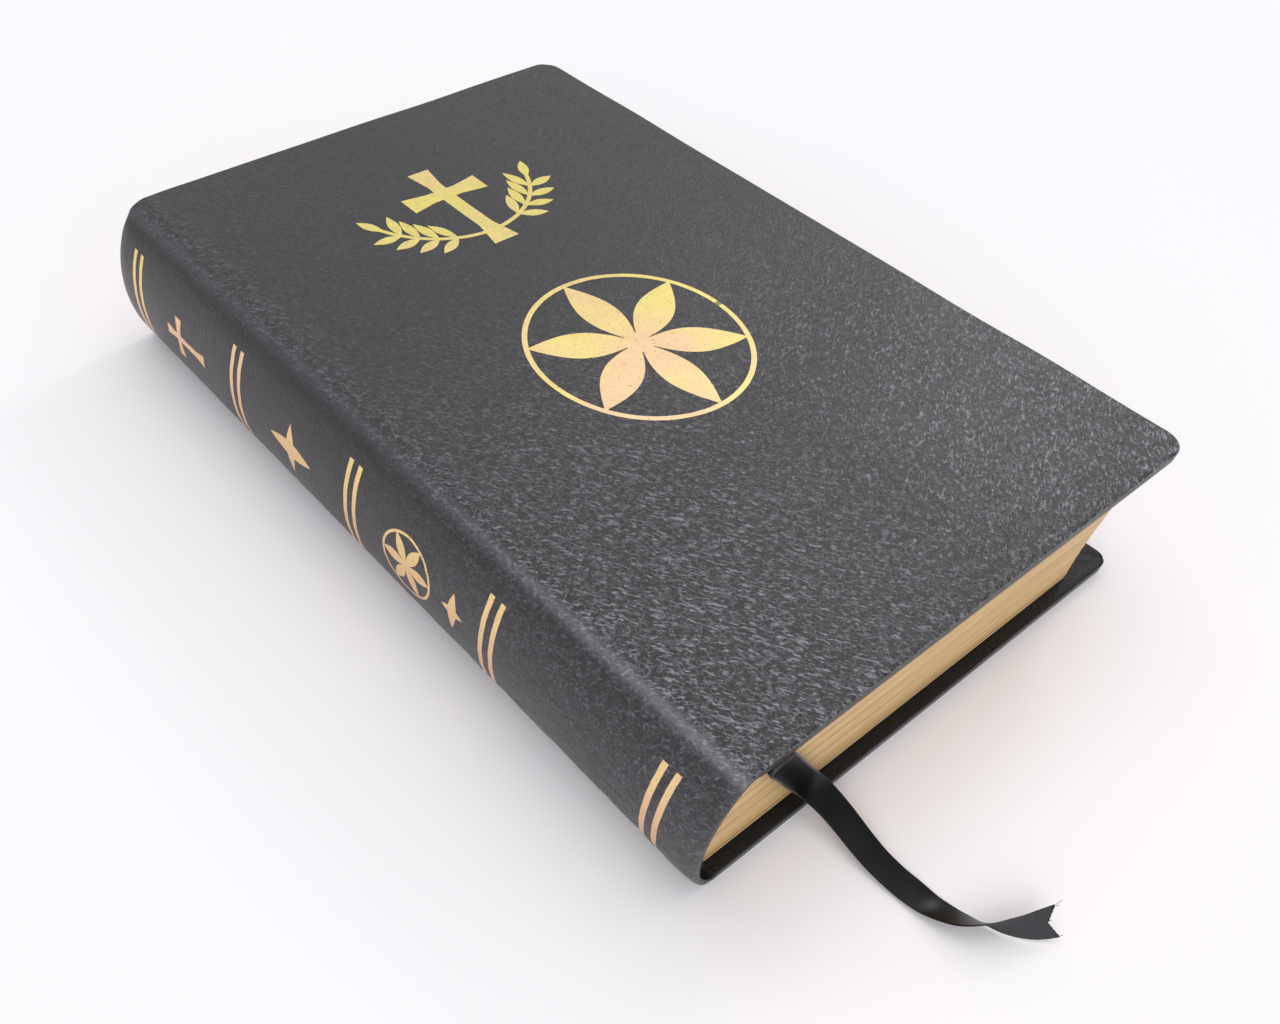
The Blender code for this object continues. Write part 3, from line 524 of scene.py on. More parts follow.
def leather(name, base, glint_colour, rub_highlight_colour, sheen, gloss=0.5):
    """Pigmented leather. Net: 1 on the edges of Voronoi cells, fading over a fifth of a cell, and
    broken by noise. Creases: noise drawn out along a heading. Painted glints (half the net plus
    the highest creases, times the grain number) make those tops lighter, painted shade darkens
    the ground where the grain number is high, the ridge number adds rubbing with a painted
    highlight, and net, creases and pores go to the bump."""
    material, tree, shader = new_material(name, Specular_IOR_Level=gloss, Coat_Weight=0.12,
                                          Coat_Roughness=0.3)
    place = add(tree, "TexCoord").outputs["Object"]
    rub_and_highlight, grain = (add(tree, "Attribute", attribute_name=label).outputs["Fac"]
                   for label in ("rub_and_highlight", "grain"))
    bend = add(tree, "TexNoise", {"Vector": place, "Scale": 300.0, "Detail": 2.0})
    shift = add(tree, "VectorMath", {0: bend.outputs["Color"], 1: (BENT, BENT, BENT)},
                operation="MULTIPLY")
    moved = add(tree, "VectorMath", {0: place, 1: shift.outputs[0]}, operation="ADD").outputs[0]

    squeezed = add(tree, "VectorMath", {0: moved, 1: (1.0, 0.8, 1.0)}, operation="MULTIPLY")
    cells = add(tree, "TexVoronoi", {"Vector": squeezed.outputs[0], "Scale": NET},
                feature="DISTANCE_TO_EDGE")
    edges = add(tree, "ValToRGB", {"Fac": cells.outputs["Distance"]},
                stops=[(0.0, "#ffffff"), (0.20, "#000000")])
    gaps = add(tree, "TexNoise", {"Vector": place, "Scale": 620.0, "Detail": 2.0})
    broken = add(tree, "ValToRGB", {"Fac": gaps.outputs["Fac"]},
                 stops=[(0.40, "#000000"), (0.56, "#ffffff")])
    net = add(tree, "Math", {0: edges.outputs[0], 1: broken.outputs[0]},
              operation="MULTIPLY").outputs[0]

    creases = []
    for heading in CREASE_HEADINGS:
        turned_place = add(tree, "Mapping", {"Vector": moved, "Rotation": (0, 0, -heading)})
        drawn_out = add(tree, "VectorMath", {0: turned_place.outputs[0], 1: CREASES},
                        operation="MULTIPLY")
        creases.append(add(tree, "TexNoise", {"Vector": drawn_out.outputs[0], "Scale": 1.0,
                           "Detail": 3.0, "Roughness": 0.6}).outputs["Fac"])
    x = add(tree, "SeparateXYZ", {"Vector": place}).outputs["X"]
    swing = add(tree, "MapRange", {"Value": x, "From Min": -0.045, "From Max": 0.055},
                interpolation_type="SMOOTHSTEP")
    folds = add(tree, "Mix", {0: swing.outputs[0], 2: creases[0], 3: creases[1]}).outputs[0]
    # Painted glints: the highest creases and half the net, times the grain number, give a lighter
    # colour where light would catch the tops.
    highest = add(tree, "ValToRGB", {"Fac": folds}, stops=[(0.54, "#000000"), (0.66, "#ffffff")])
    both = add(tree, "Math", {0: net, 1: 0.5, 2: highest.outputs[0]}, operation="MULTIPLY_ADD")
    painted_glints = add(tree, "Math", {0: both.outputs[0], 1: grain}, operation="MULTIPLY", use_clamp=True)

    pores = add(tree, "TexVoronoi", {"Vector": moved, "Scale": 2600.0}, feature="SMOOTH_F1")
    rise = add(tree, "Math", {0: net, 1: grain}, operation="MULTIPLY")
    with_folds = add(tree, "Math", {0: folds, 1: 1.6, 2: rise.outputs[0]},
                     operation="MULTIPLY_ADD")
    total = add(tree, "Math", {0: pores.outputs["Distance"], 1: -0.4, 2: with_folds.outputs[0]},
                operation="MULTIPLY_ADD")
    bump = add(tree, "Bump", {"Strength": 0.9, "Distance": 0.22 * MM, "Height": total.outputs[0]})

    patches = add(tree, "TexNoise", {"Vector": place, "Scale": 34.0, "Detail": 2.0}).outputs["Fac"]
    shade = patches
    # Colour step by step: random patches of two tones; painted shade that darkens the ground where
    # the grain number is high; painted glints; the ridge's rubbing with a painted highlight.
    for factor, dark, light in ((shade, colour(base[0]), colour(base[1])),
                                (grain, None, colour("#0d0d0e")),
                                (painted_glints.outputs[0], None, colour(glint_colour)),
                                (rub_and_highlight, None, colour(rub_highlight_colour))):
        shade = add(tree, "Mix", {0: factor, 6: dark or shade, 7: light},
                    data_type="RGBA").outputs[2]
    satin_level = add(tree, "MapRange", {"Value": patches, "From Min": 0.3, "From Max": 0.7,
                                         "To Min": sheen[0], "To Max": sheen[1]})
    plug(tree, shader, Base_Color=shade, Roughness=satin_level.outputs[0], Normal=bump.outputs[0])
    return material


# Colours: two base tones, then the painted glint colour, then the colour of the ridge's rubbing and
# painted highlight; last the satin roughness range.
hide = leather("black_pigmented_cowhide", ("#201f22", "#28272b"), "#85848b", "#85848b",
               (0.34, 0.44))
turned_in_hide = leather("black_turned_in_cowhide", ("#0b0a09", "#12100e"), "#1c1a18", "#1c1a18",
                         (0.30, 0.40), gloss=0.2)
print("grain cells about", round(1000 / NET, 1), "mm")

# %% [markdown]
# ## The three leather pieces
#
# On the real book the hide is one piece. Here it is cut twice, on the rounded spine
# where nothing bends: the spine piece stays with the pages, and each cover piece is
# fixed in place. A cover is a slab with an outer and an inner skin. Its thickness grows
# from the single hide at the joint to hide, card and turned-in edge at the rim, and the
# rim is rounded by a quarter circle on each side.

# %% Measure out the slabs
CUT = s_at(4.3 * MM)                # the hide is divided here, on both sides
CORNERS = {1: 5.6 * MM, -1: 3.6 * MM}      # corner radius of the front cover and of the back
RIM = 0.55 * MM                    # radius of the rounded rim
TURN_IN = 12 * MM                  # width of the turned-in hide
CAP_LENGTH = 5 * MM                # the spine's ends roll in over this length
CAP_DROP = 0.9 * MM
RIM_STEPS = 7
HIGHEST = 0.45 * MM                # no wrinkle stands higher than this
PRESSED = 0.10 * MM                # the side that lies on the table is pressed in by this
HIDE, CARD, FOLDED_IN = 1.3 * MM, 1.25 * MM, 0.45 * MM     # the layers of a cover
MITRE, PLEAT = 0.28 * MM, 0.10 * MM        # depth of the folds in a turned-in corner


def rounding(edge, radius):
    """How far the skin has dropped at a distance from the rim: r - sqrt(r^2 - (r - d)^2)."""
    inside = np.clip(radius - edge, 0, radius)
    return radius - np.sqrt(radius ** 2 - inside ** 2)


def rim_spacing(radius):
    """Distances from the rim of points spread evenly round its quarter circle."""
    return radius * (1 - np.sin(np.linspace(np.pi / 2, 0, RIM_STEPS)))


def rows_for(radius, count):
    """Places along y: even in the middle, and close together round both rims."""
    near = rim_spacing(radius)
    half = np.linspace(0, HALF_HEIGHT - radius, count)[:-1]
    up = np.concatenate([half, (HALF_HEIGHT - near)[::-1]])
    return np.concatenate([-up[:0:-1], up])


def cut_corner(s, y, corner):
    """Squeezes the square corner of the cover into a quarter disc: a' = a sqrt(1 - b^2/2),
    b' = b sqrt(1 - a^2/2). It gives back s, y and the distance from the rim."""
    a = np.clip((s - (FORE_EDGE - corner)) / corner, 0, None)
    b = np.clip((np.abs(y) - (HALF_HEIGHT - corner)) / corner, 0, None)
    both = (a > 0) & (b > 0)
    new_a = np.where(both, a * np.sqrt(1 - b ** 2 / 2), a)
    new_b = np.where(both, b * np.sqrt(1 - a ** 2 / 2), b)
    new_s = np.where(a > 0, FORE_EDGE - corner + new_a * corner, s)
    new_y = np.where(b > 0, np.sign(y) * (HALF_HEIGHT - corner + new_b * corner), y)
    edge = np.minimum(FORE_EDGE - new_s, HALF_HEIGHT - np.abs(new_y))
    edge = np.where(both, corner * (1 - np.hypot(new_a, new_b)), edge)
    return new_s, new_y, np.maximum(edge, 0)


def outer_skin(s, y, edge):
    """Point of the smooth section at s, its normal, and the height of the hide's outside over it:
    relief, less the fall at the spine's ends and the rounding of the rim."""
    x, z, nx, nz = skin(s)
    between = np.clip(1 - (np.abs(s) / s_at(7 * MM)) ** 4, 0, 1)
    beyond = np.clip((np.abs(y) - (HALF_HEIGHT - CAP_LENGTH)) / CAP_LENGTH, 0, 1)
    fall = CAP_DROP * between * (1 - np.sqrt(1 - beyond ** 2))
    height = relief(s, y, edge) - fall
    under = step_up(-s, FLAT_FROM - 6 * MM, FLAT_FROM)       # the side that lies on the table
    height = height * (1 - 0.75 * under) - PRESSED * under
    height = np.minimum(height, HIGHEST) - rounding(edge, RIM)
    return x, z, nx, nz, height


def hide_piece(name, sign, columns, rows):
    """Slab of hide over columns (|s|) and rows (y); sign is 1 for the front half, -1 behind."""
    s, y = np.meshgrid(columns, rows)
    s, y, edge = cut_corner(s, y, CORNERS[sign])
    s = s * sign
    x, z, nx, nz, height = outer_skin(s, y, edge)
    outside = np.stack([x + nx * height, y, z + nz * height], -1)
    front = np.abs(s)
    thick = HIDE + CARD * step_up(front, s_at(8.2 * MM), s_at(10.6 * MM))
    ends = step_up(np.abs(y), HALF_HEIGHT - 11.5 * MM, HALF_HEIGHT - 10 * MM)
    by_rim = step_up(-edge, -TURN_IN - 0.25 * MM, -TURN_IN + 0.25 * MM)
    thick += FOLDED_IN * np.maximum(by_rim, ends)
    from_fore, from_end = FORE_EDGE - front, HALF_HEIGHT - np.abs(y)
    mitre = hump(from_fore - from_end, 0, 0.45 * MM) * (edge < TURN_IN)
    mitre = mitre * (from_fore < TURN_IN + 2 * MM)
    pleats = np.abs(np.sin(5 * np.arctan2(from_end, from_fore)))
    pleats = pleats * (np.hypot(from_fore, from_end) < 9 * MM) * (edge > 1 * MM)
    thick -= MITRE * mitre + PLEAT * pleats
    lower_height = 0.5 * np.minimum(height, 0) - thick + rounding(edge, RIM)
    lower_height = np.minimum(lower_height, height - 0.25 * MM)
    inside = np.stack([x + nx * lower_height, y, z + nz * lower_height], -1)
    # Ridge number: rubbing on the ridge together with a painted highlight there, stronger towards
    # the tail.
    rub_and_highlight = 0.12 + 0.40 * step_up(-y, 0, HALF_HEIGHT)
    rub_and_highlight = rub_and_highlight * hump(front, RIDGE + 0.3 * MM, 1.3 * MM)
    # Grain number: how deep the net shows in the bump, and how strong the painted glints and the
    # painted shade between them are; highest near the tail and along the joint, low on the spine.
    along_joint = hump(front, RIDGE + 3.5 * MM, 5 * MM)
    near_tail = step_up(-y, -0.35 * HALF_HEIGHT, 0.95 * HALF_HEIGHT)
    grain = 0.12 + 0.88 * np.maximum(near_tail, (0.25 + 0.75 * near_tail) * along_joint)
    grain *= 0.3 + 0.7 * step_up(front, RIDGE - 1.5 * MM, RIDGE + 0.5 * MM)
    values = {"rub_and_highlight": [rub_and_highlight, 0 * rub_and_highlight, np.stack([rim(rub_and_highlight), 0 * rim(rub_and_highlight)])],
              "grain": [grain, 0.3 + 0 * grain, np.stack([rim(grain), 0 * rim(grain) + 0.3])]}
    made = slab(name, outside, inside, kinds=[0, 1, 1], values=values, angle=50)
    return dress(made, hide, turned_in_hide)


cover_rows = rows_for(RIM, 112)
near_fore = rim_spacing(RIM)
cover_columns = np.concatenate([np.linspace(CUT, FORE_EDGE - RIM, 156)[:-1],
                                (FORE_EDGE - near_fore)[::-1]])
print("cut at", round(CUT / MM, 2), "mm;", len(cover_columns), "x", len(cover_rows), "points")

# %% Make the covers and the spine
for side, sign, height in (("front", 1, TOP), ("back", -1, 0.0)):
    cover = hide_piece(f"{side}_cover_hide", sign, cover_columns, cover_rows)
    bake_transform(cover)
    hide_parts(f"{side}_cover_leather")
spine = hide_piece("spine_hide", 1, np.linspace(-CUT, CUT, 61), cover_rows)
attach(spine, "book_block")
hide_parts("spine_leather")

# %% [markdown]
# ## Gilt page edges
#
# Before the cover goes on, the pages are clamped, their edges sanded smooth, and gold
# leaf is laid on and burnished. Seen close, the gold is broken by the fine lines of
# the leaves, and it looks redder where the light comes at a low angle. Leaves of
# this paper are about 0.04 mm thick; the lines are drawn at about 0.3 mm, in
# uneven strengths, with a deeper line now and then between two gatherings. The flat
# faces of the leaves are uncoated cream paper.

# %% Make the paper materials
LEAF_LINES, BUNDLE_LINES, PATCHES = (18.0, 18.0, 3600.0), (14.0, 14.0, 900.0), (60.0, 60.0, 60.0)


def layered(name, gold_codes, metal, roughness):
    """Edge of a stack of leaves: noise squeezed along z gives the lines, slow noise the patches."""
    material, tree, shader = new_material(name, Specular_IOR_Level=0.5)
    place = add(tree, "TexCoord").outputs["Object"]
    noises = []
    for scale, detail in ((LEAF_LINES, 3.0), (BUNDLE_LINES, 2.0), (PATCHES, 2.0)):
        squeezed = add(tree, "VectorMath", {0: place, 1: scale}, operation="MULTIPLY")
        noises.append(add(tree, "TexNoise", {"Vector": squeezed.outputs[0], "Scale": 1.0,
                                             "Detail": detail}).outputs["Fac"])
    fine, coarse, patches = noises
    coarse_share = add(tree, "Math", {0: coarse, 1: 0.4}, operation="MULTIPLY")
    mixed = add(tree, "Math", {0: fine, 1: 0.6, 2: coarse_share.outputs[0]},
                operation="MULTIPLY_ADD").outputs[0]
    lit = add(tree, "ValToRGB", {"Fac": mixed}, stops=gold_codes)
    toned = add(tree, "Mix", {0: patches, 6: lit.outputs[0], 7: colour(gold_codes[1][1])},
                data_type="RGBA")
    shader.inputs["Metallic"].default_value = metal
    rough = add(tree, "MapRange", {"Value": fine, "To Min": roughness[0], "To Max": roughness[1]})
    bump = add(tree, "Bump", {"Strength": 0.4, "Distance": 0.06 * MM, "Height": mixed})
    plug(tree, shader, Base_Color=toned.outputs[2], Roughness=rough.outputs[0],
         Normal=bump.outputs[0])
    return material


gilt = layered("burnished_gilt_edge", [(0.36, "#a07a45"), (0.48, "#d4ae74"), (0.62, "#f3dcaa")],
               0.2, (0.36, 0.54))


def paper(name, light, dark, roughness, tooth):
    """Sheet of paper: fibre noise in two sizes tints it a little and gives it tooth."""
    material, tree, shader = new_material(name, Specular_IOR_Level=0.3)
    place = add(tree, "TexCoord").outputs["Object"]
    fibres = add(tree, "TexNoise", {"Vector": place, "Scale": 1800.0, "Detail": 3.0})
    clouds = add(tree, "TexNoise", {"Vector": place, "Scale": 50.0, "Detail": 3.0})
    both = add(tree, "Math", {0: fibres.outputs["Fac"], 1: clouds.outputs["Fac"]},
               operation="MULTIPLY")
    tint = add(tree, "ValToRGB", {"Fac": both.outputs[0]}, stops=[(0.12, dark), (0.4, light)])
    rough = add(tree, "MapRange", {"Value": clouds.outputs["Fac"], "To Min": roughness - 0.08,
                "To Max": roughness + 0.08})
    bump = add(tree, "Bump", {"Strength": 0.3, "Distance": tooth, "Height": fibres.outputs["Fac"]})
    plug(tree, shader, Base_Color=tint.outputs[0], Roughness=rough.outputs[0],
         Normal=bump.outputs[0])
    return material


leaf_paper = paper("uncoated_cream_paper", "#efe6cf", "#e2d6b8", 0.75, 0.03 * MM)
black_paper = paper("black_coated_endpaper", "#1c1b1b", "#121111", 0.5, 0.02 * MM)
# The lining is near black: partly a lining that suits this black book, partly painted shade for the
# dark hollow at the tail, where it shows.
lining = paper("dark_lining_and_hollow_shade_paper", "#171614", "#0e0d0c", 0.85, 0.04 * MM)
card = paper("limp_grey_card", "#8d8577", "#6f685c", 0.85, 0.05 * MM)
print("paper lines about", round(1000 / LEAF_LINES[2], 2), "mm")

# %% [markdown]
# ## Page block
#
# The block is made of three pieces: two bundles of leaves on top, and the rest. Each
# is a flat grid above, the same grid below, and a wall of many levels between. The
# folded back follows the rounded spine, and the fore-edge leans, so that the upper
# leaves reach further. Leaves never lie perfectly flush, so each level stands out or
# in by a few hundredths of a millimetre, and gatherings leave shallow valleys.

# %% Work out the blocks of leaves
PAGE_CORNER = 5 * MM
GATHERINGS = 24
HIDE_TO_FOLD = 3.6 * MM            # hide, card and spine layers, from the outside to the folds
lowest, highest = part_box("section_24")[0].z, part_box("section_01")[1].z
middle_low, middle_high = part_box("section_12")
PAGE_WIDTH = middle_high.x - middle_low.x
PAGE_HALF = middle_high.y
GATHERING = (highest - lowest) / GATHERINGS
leaning = [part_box(name) for name in ("section_24", "section_12", "section_01")]
FORE_CURVE = np.polyfit([(low.z + high.z) / 2 for low, high in leaning],
                        [high.x for low, high in leaning], 2)
LOOSE, SLOW, VALLEY = 0.022, 0.030, 0.07       # how far levels stand out or in, in millimetres
# places across the leaves, close together at the gutter, where they bend
GUTTER = [0, 0.4, 0.9, 1.5, 2.2, 3.0, 4.0, 5.2, 6.6, 8.2, 10.0, 12.0, 14.5, 17.5]


def fold_at(z):
    """x of the folded back at height z: the spine's ellipse, a (1 - sqrt(1 - h^2)), moved in."""
    h = (np.asarray(z) - MIDDLE) / MIDDLE
    return LEFT + HIDE_TO_FOLD + SPINE_DEPTH * (1 - np.sqrt(1 - h ** 2))


def stretch_at(z):
    """Width of the leaves at height z, from the fold to the leaning fore-edge, as a share of the
    page width."""
    return (np.polyval(FORE_CURVE, z) - fold_at(z)) / PAGE_WIDTH


def leaves_plan():
    """Flat grid of (x, y) from the fold, with its two fore corners rounded as a quarter disc."""
    near = PAGE_CORNER * (1 - np.sin(np.linspace(np.pi / 2, 0, 6)))
    far = np.linspace(21 * MM, PAGE_WIDTH - PAGE_CORNER, 40)[:-1]
    columns = np.concatenate([np.array(GUTTER) * MM, far, (PAGE_WIDTH - near)[::-1]])
    half = np.linspace(0, PAGE_HALF - PAGE_CORNER, 46)[:-1]
    up = np.concatenate([half, (PAGE_HALF - near)[::-1]])
    across, along = np.meshgrid(columns, np.concatenate([-up[:0:-1], up]))
    start_a, start_b = PAGE_WIDTH - PAGE_CORNER, PAGE_HALF - PAGE_CORNER
    a = np.clip((across - start_a) / PAGE_CORNER, 0, None)
    b = np.clip((np.abs(along) - start_b) / PAGE_CORNER, 0, None)
    corner = (a > 0) & (b > 0)
    round_a = PAGE_CORNER * a * np.sqrt(1 - b ** 2 / 2)
    round_b = PAGE_CORNER * b * np.sqrt(1 - a ** 2 / 2)
    across = np.where(corner, start_a + round_a, across)
    along = np.where(corner, np.sign(along) * (start_b + round_b), along)
    return across, along


def leaves(name, low, high, seed, levels):
    """Block of leaves between two heights: plan grid above and below, and a wall of levels between
    whose outline moves out by draw(level) + waves(along, level) - valley(level)."""
    across, along = leaves_plan()
    rows, columns = across.shape
    ring = rim(np.stack([across, along], -1))
    round_it = np.concatenate([[0], np.cumsum(np.linalg.norm(np.diff(ring, axis=0), axis=1))])
    way = unit(ring - (PAGE_WIDTH / 2, 0))
    z = np.linspace(low, high, levels)
    draw = np.random.default_rng(seed)
    loose = LOOSE * draw.standard_normal(levels)[:, None] * np.ones(len(ring))[None, :]
    slow = SLOW * waves(round_it[None, :], 40 * z[:, None], seed + 1, 60 * MM, 0.8, 1.0, 20)
    valley = VALLEY * np.abs(np.cos(np.pi * (z - lowest) / GATHERING))[:, None] ** 14
    out = (loose + slow - valley) * MM
    out[:, np.isclose(ring[:, 0], 0)] = 0
    out[:, [-1]] = out[:, [0]]
    wall = np.stack([fold_at(z)[:, None] + stretch_at(z)[:, None] * ring[:, 0] + way[:, 0] * out,
                     ring[:, 1] + way[:, 1] * out, np.repeat(z[:, None], len(ring), 1)], -1)

    def flat(level):
        """Plan grid at the first or last level, with its border moved to the wall's."""
        height = z[level]
        grid = np.stack([fold_at(height) + stretch_at(height) * across, along,
                         np.full_like(across, height)], -1)
        border = wall[level]
        grid[0, :] = border[:columns]
        grid[:, -1] = border[columns - 1:columns + rows - 1]
        grid[-1, :] = border[columns + rows - 2:2 * columns + rows - 2][::-1]
        grid[:, 0] = border[2 * columns + rows - 3:][::-1]
        return grid

    made = piece(name, [flat(-1), flat(0), wall], kinds=[1, 1, 0], angle=60)
    polygons = made.data.polygons
    middles, kinds = np.zeros(3 * len(polygons)), np.zeros(len(polygons), np.int32)
    polygons.foreach_get("center", middles)
    polygons.foreach_get("material_index", kinds)
    x, z_of = middles.reshape(-1, 3)[:, 0], middles.reshape(-1, 3)[:, 2]
    polygons.foreach_set("material_index",
                         np.where(x < fold_at(z_of) + 0.05 * MM, 1, kinds).astype(np.int32))
    dress(made, gilt, leaf_paper)
    return made


RIBBON_ROOM, PARTING, SWELL = 0.19 * MM, 0.02 * MM, (0.15 * MM, 0.20 * MM)
main = leaves("page_block", lowest - SWELL[0], SLOT - RIBBON_ROOM, 41, 190)
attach(main, "book_block")
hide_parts(*[f"section_{number:02d}" for number in range(5, GATHERINGS + 1)])
split = (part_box("section_02")[0].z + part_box("section_03")[1].z) / 2
for name, body, low, high, number, seed in (
        ("second_leaves", "second_sections", SLOT + RIBBON_ROOM, split - PARTING, 3, 43),
        ("first_leaves", "first_sections", split + PARTING, highest + SWELL[1], 1, 47)):
    bundle = leaves(name, low, high, seed, 20)
    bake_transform(bundle)
    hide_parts(f"section_{number:02d}", f"section_{number + 1:02d}")

# %% [markdown]
# ## Gold tooling
#
# The ornaments and the rules are stamped: a hot brass die presses a thin film of gold
# through to the leather, a little below its surface. Every shape here is a band whose
# half width changes along a path: a leaf is a straight path with a sine for its
# width, a ring is a circle with an even width, and a rule is a short straight line.
# The band is laid on the hide by the same function that made the hide. The film has
# pinholes where the grain was too deep, and its tone drifts from rosy to yellow.

# %% Make the foil material
def foil_material():
    """Metal film with pinholes: fine noise under a threshold shows black leather and turns off the
    metal. The tone is slow noise, and rosy low on the spine."""
    material, tree, shader = new_material("stamped_gold_foil")
    place = add(tree, "TexCoord").outputs["Object"]
    specks = add(tree, "TexNoise", {"Vector": place, "Scale": 2600.0, "Detail": 2.0,
                                    "Roughness": 0.7})
    tone, grain = (add(tree, "TexNoise", {"Vector": place, "Scale": scale,
                                          "Detail": 2.0}).outputs["Fac"] for scale in (26.0, 900.0))
    solid = add(tree, "MapRange", {"Value": specks.outputs["Fac"], "From Min": 0.30,
                                   "From Max": 0.36})
    gold = add(tree, "ValToRGB", {"Fac": tone},
               stops=[(0.40, "#f2cfa2"), (0.52, "#f2dc92"), (0.62, "#f0e184")])
    height = add(tree, "SeparateXYZ", {"Vector": place}).outputs["Z"]
    upper = add(tree, "MapRange", {"Value": height, "From Min": 14 * MM, "From Max": 34 * MM})
    toned = add(tree, "Mix", {0: upper.outputs[0], 6: colour("#f0c49c"), 7: gold.outputs[0]},
                data_type="RGBA")
    shown = add(tree, "Mix", {0: solid.outputs[0], 6: colour("#2a2420"), 7: toned.outputs[2]},
                data_type="RGBA")
    metal = add(tree, "Math", {0: solid.outputs[0], 1: 0.8}, operation="MULTIPLY")
    rough = add(tree, "MapRange", {"Value": grain, "To Min": 0.28, "To Max": 0.52})
    bump = add(tree, "Bump", {"Strength": 0.35, "Distance": 0.08 * MM, "Height": grain})
    plug(tree, shader, Base_Color=shown.outputs[2], Metallic=metal.outputs[0],
         Roughness=rough.outputs[0], Normal=bump.outputs[0])
    return material


foil = foil_material()

# %% Lay bands of foil on the hide
PROUD, SUNK, STEP = 0.035 * MM, -0.06 * MM, 0.0015 * MM


def lay(s, y, lift):
    """Point on the hide at (s, y), lifted along its normal."""
    edge = np.minimum(FORE_EDGE - np.abs(s), HALF_HEIGHT - np.abs(y))
    x, z, nx, nz, height = outer_skin(s, y, edge)
    return np.stack([x + nx * (height + lift), y, z + nz * (height + lift)], -1)


def band(path, half, order=0, closed=False, rows=5):
    """Three grids of a thin slab: path + across(u) half(t), with its top proud of the hide and its
    bottom sunk in it. Each further band is a hair higher, so that no two tops share a plane."""
    path = np.asarray(path, float)
    ahead = np.gradient(path, axis=0)
    if closed:
        ahead = np.roll(path[:-1], -1, 0) - np.roll(path[:-1], 1, 0)
        ahead = np.concatenate([ahead, ahead[:1]])
    way = unit(ahead)
    side = np.stack([-way[:, 1], way[:, 0]], -1)
    u = np.linspace(-1, 1, rows)[:, None, None]
    flat = path[None] + u * np.broadcast_to(half, len(path))[None, :, None] * side[None]
    top, bottom = (lay(flat[..., 0], flat[..., 1], lift) for lift in (PROUD + order * STEP, SUNK))
    return [top, bottom, np.stack([rim(top), rim(bottom)])]


def line(start, end, points):
    """Evenly spaced points from start to end."""
    return np.linspace(start, end, points)


def leaf(root, tip, half, order=0, points=19):
    """Leaf or petal: a straight path whose half width is half sin(pi t)."""
    t = np.linspace(0, 1, points)
    return band(line(root, tip, points), np.maximum(half * np.sin(np.pi * t), 0.01 * MM), order)


def circle(centre, radius, start=0.0, stop=360.0, points=121):
    """Points on an arc between two angles in degrees."""
    turn = np.radians(np.linspace(start, stop, points))
    return np.stack([centre[0] + radius * np.cos(turn), centre[1] + radius * np.sin(turn)], -1)


def rosette(centre, radius, ring_width, petals=6):
    """Compass-drawn flower in a ring: petals from the middle to the ring, and a small disc."""
    centre = np.asarray(centre, float)
    shapes = band(circle(centre, radius - ring_width / 2), ring_width / 2, 0, closed=True)
    for k in range(petals):
        turn = math.radians(90 + 360 * k / petals)
        tip_at = centre + (radius - ring_width / 2) * np.array([math.cos(turn), math.sin(turn)])
        shapes += leaf(centre, tip_at, radius * 0.17, k + 1)
    t = np.linspace(-1, 1, 15)
    disc = centre + np.stack([t, 0 * t], -1) * radius * 0.13
    return shapes + band(disc, radius * 0.13 * np.sqrt(1 - t ** 2) + 0.01 * MM, petals + 1)


def bar(start, end, half, flare, order):
    """Bar of a cross: even, then wider over its last 2.2 flares."""
    length = math.dist(start, end)
    t = np.linspace(0, 1, 29)
    widen = np.clip((t * length - (length - 2.2 * flare)) / (2.2 * flare), 0, 1)
    return band(line(start, end, 29), half + (flare - half) * widen, order)


def cross(centre, height, span, half, flare):
    """Latin cross of four bars that meet at 0.18 of its height above its middle."""
    x, y = centre
    crossing = y + 0.18 * height
    bars = [((x, crossing - 2 * half), (x, y + height / 2), flare),
            ((x, crossing + half), (x, y - height / 2), 1.15 * flare)]
    bars += [((x - way * half / 2, crossing), (x + way * span / 2, crossing), flare)
             for way in (-1, 1)]
    return [grid for order, (start, end, wide) in enumerate(bars, 1)
            for grid in bar(start, end, half, wide, order)]


def spray(centre, side, reach, height, count=5):
    """Stem on a circular arc from the foot of the cross, with pairs of leaves along it."""
    radius = 0.95 * reach
    hub = np.array([centre[0], centre[1] - 0.36 * height + radius])
    shapes = band(circle(hub, radius, -90, -90 + side * 68, 25), 0.6 * MM, 5)
    for k in range(count):
        turn = 22 + 42 * k / (count - 1)
        at = math.radians(-90 + side * turn)
        foot = hub + radius * np.array([math.cos(at), math.sin(at)])
        heading = math.radians(turn if side > 0 else 180 - turn)
        for spread in ((0,) if k == count - 1 else (-48, 48)):
            way = heading + math.radians(spread)
            length = (9.6 if spread * side > 0 else 8.2) * MM
            tip_at = foot + length * np.array([math.cos(way), math.sin(way)])
            shapes += leaf(foot, tip_at, 1.45 * MM, 6 + k % 2)
    return shapes


def crossed_leaves(centre, sizes):
    """Two leaves across each other, one level and one upright."""
    (level, level_half), (upright, upright_half) = sizes
    x, y = centre
    return (leaf((x - level, y), (x + level, y), level_half, 1)
            + leaf((x, y - upright), (x, y + upright), upright_half, 2))


def foil_piece(name, grids, body, *nodes):
    """Piece of foil on a body, in the place of these nodes."""
    made = dress(piece(name, grids, angle=30), foil)
    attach(made, body)
    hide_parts(*nodes)
    return made


# %% Stamp the cover
def cover_place(distance, y):
    """(s, y) of a place on the front cover, given from the spine and from the tail."""
    return FLAT_FROM + distance - SPINE_DEPTH, y - HALF_HEIGHT


ornament = cover_place(76.5 * MM, 166.5 * MM)
shapes = cross(ornament, 38 * MM, 24 * MM, 2.1 * MM, 3.4 * MM)
for side in (-1, 1):
    shapes += spray(ornament, side, 28 * MM, 38 * MM)
foil_piece("cover_cross_and_leaves", shapes, "front_cover", "cover_ornament_foil")
medallion = rosette(cover_place(74.5 * MM, 97 * MM), 27.4 * MM, 1.3 * MM)
foil_piece("cover_rosette", medallion, "front_cover", "cover_medallion_foil")

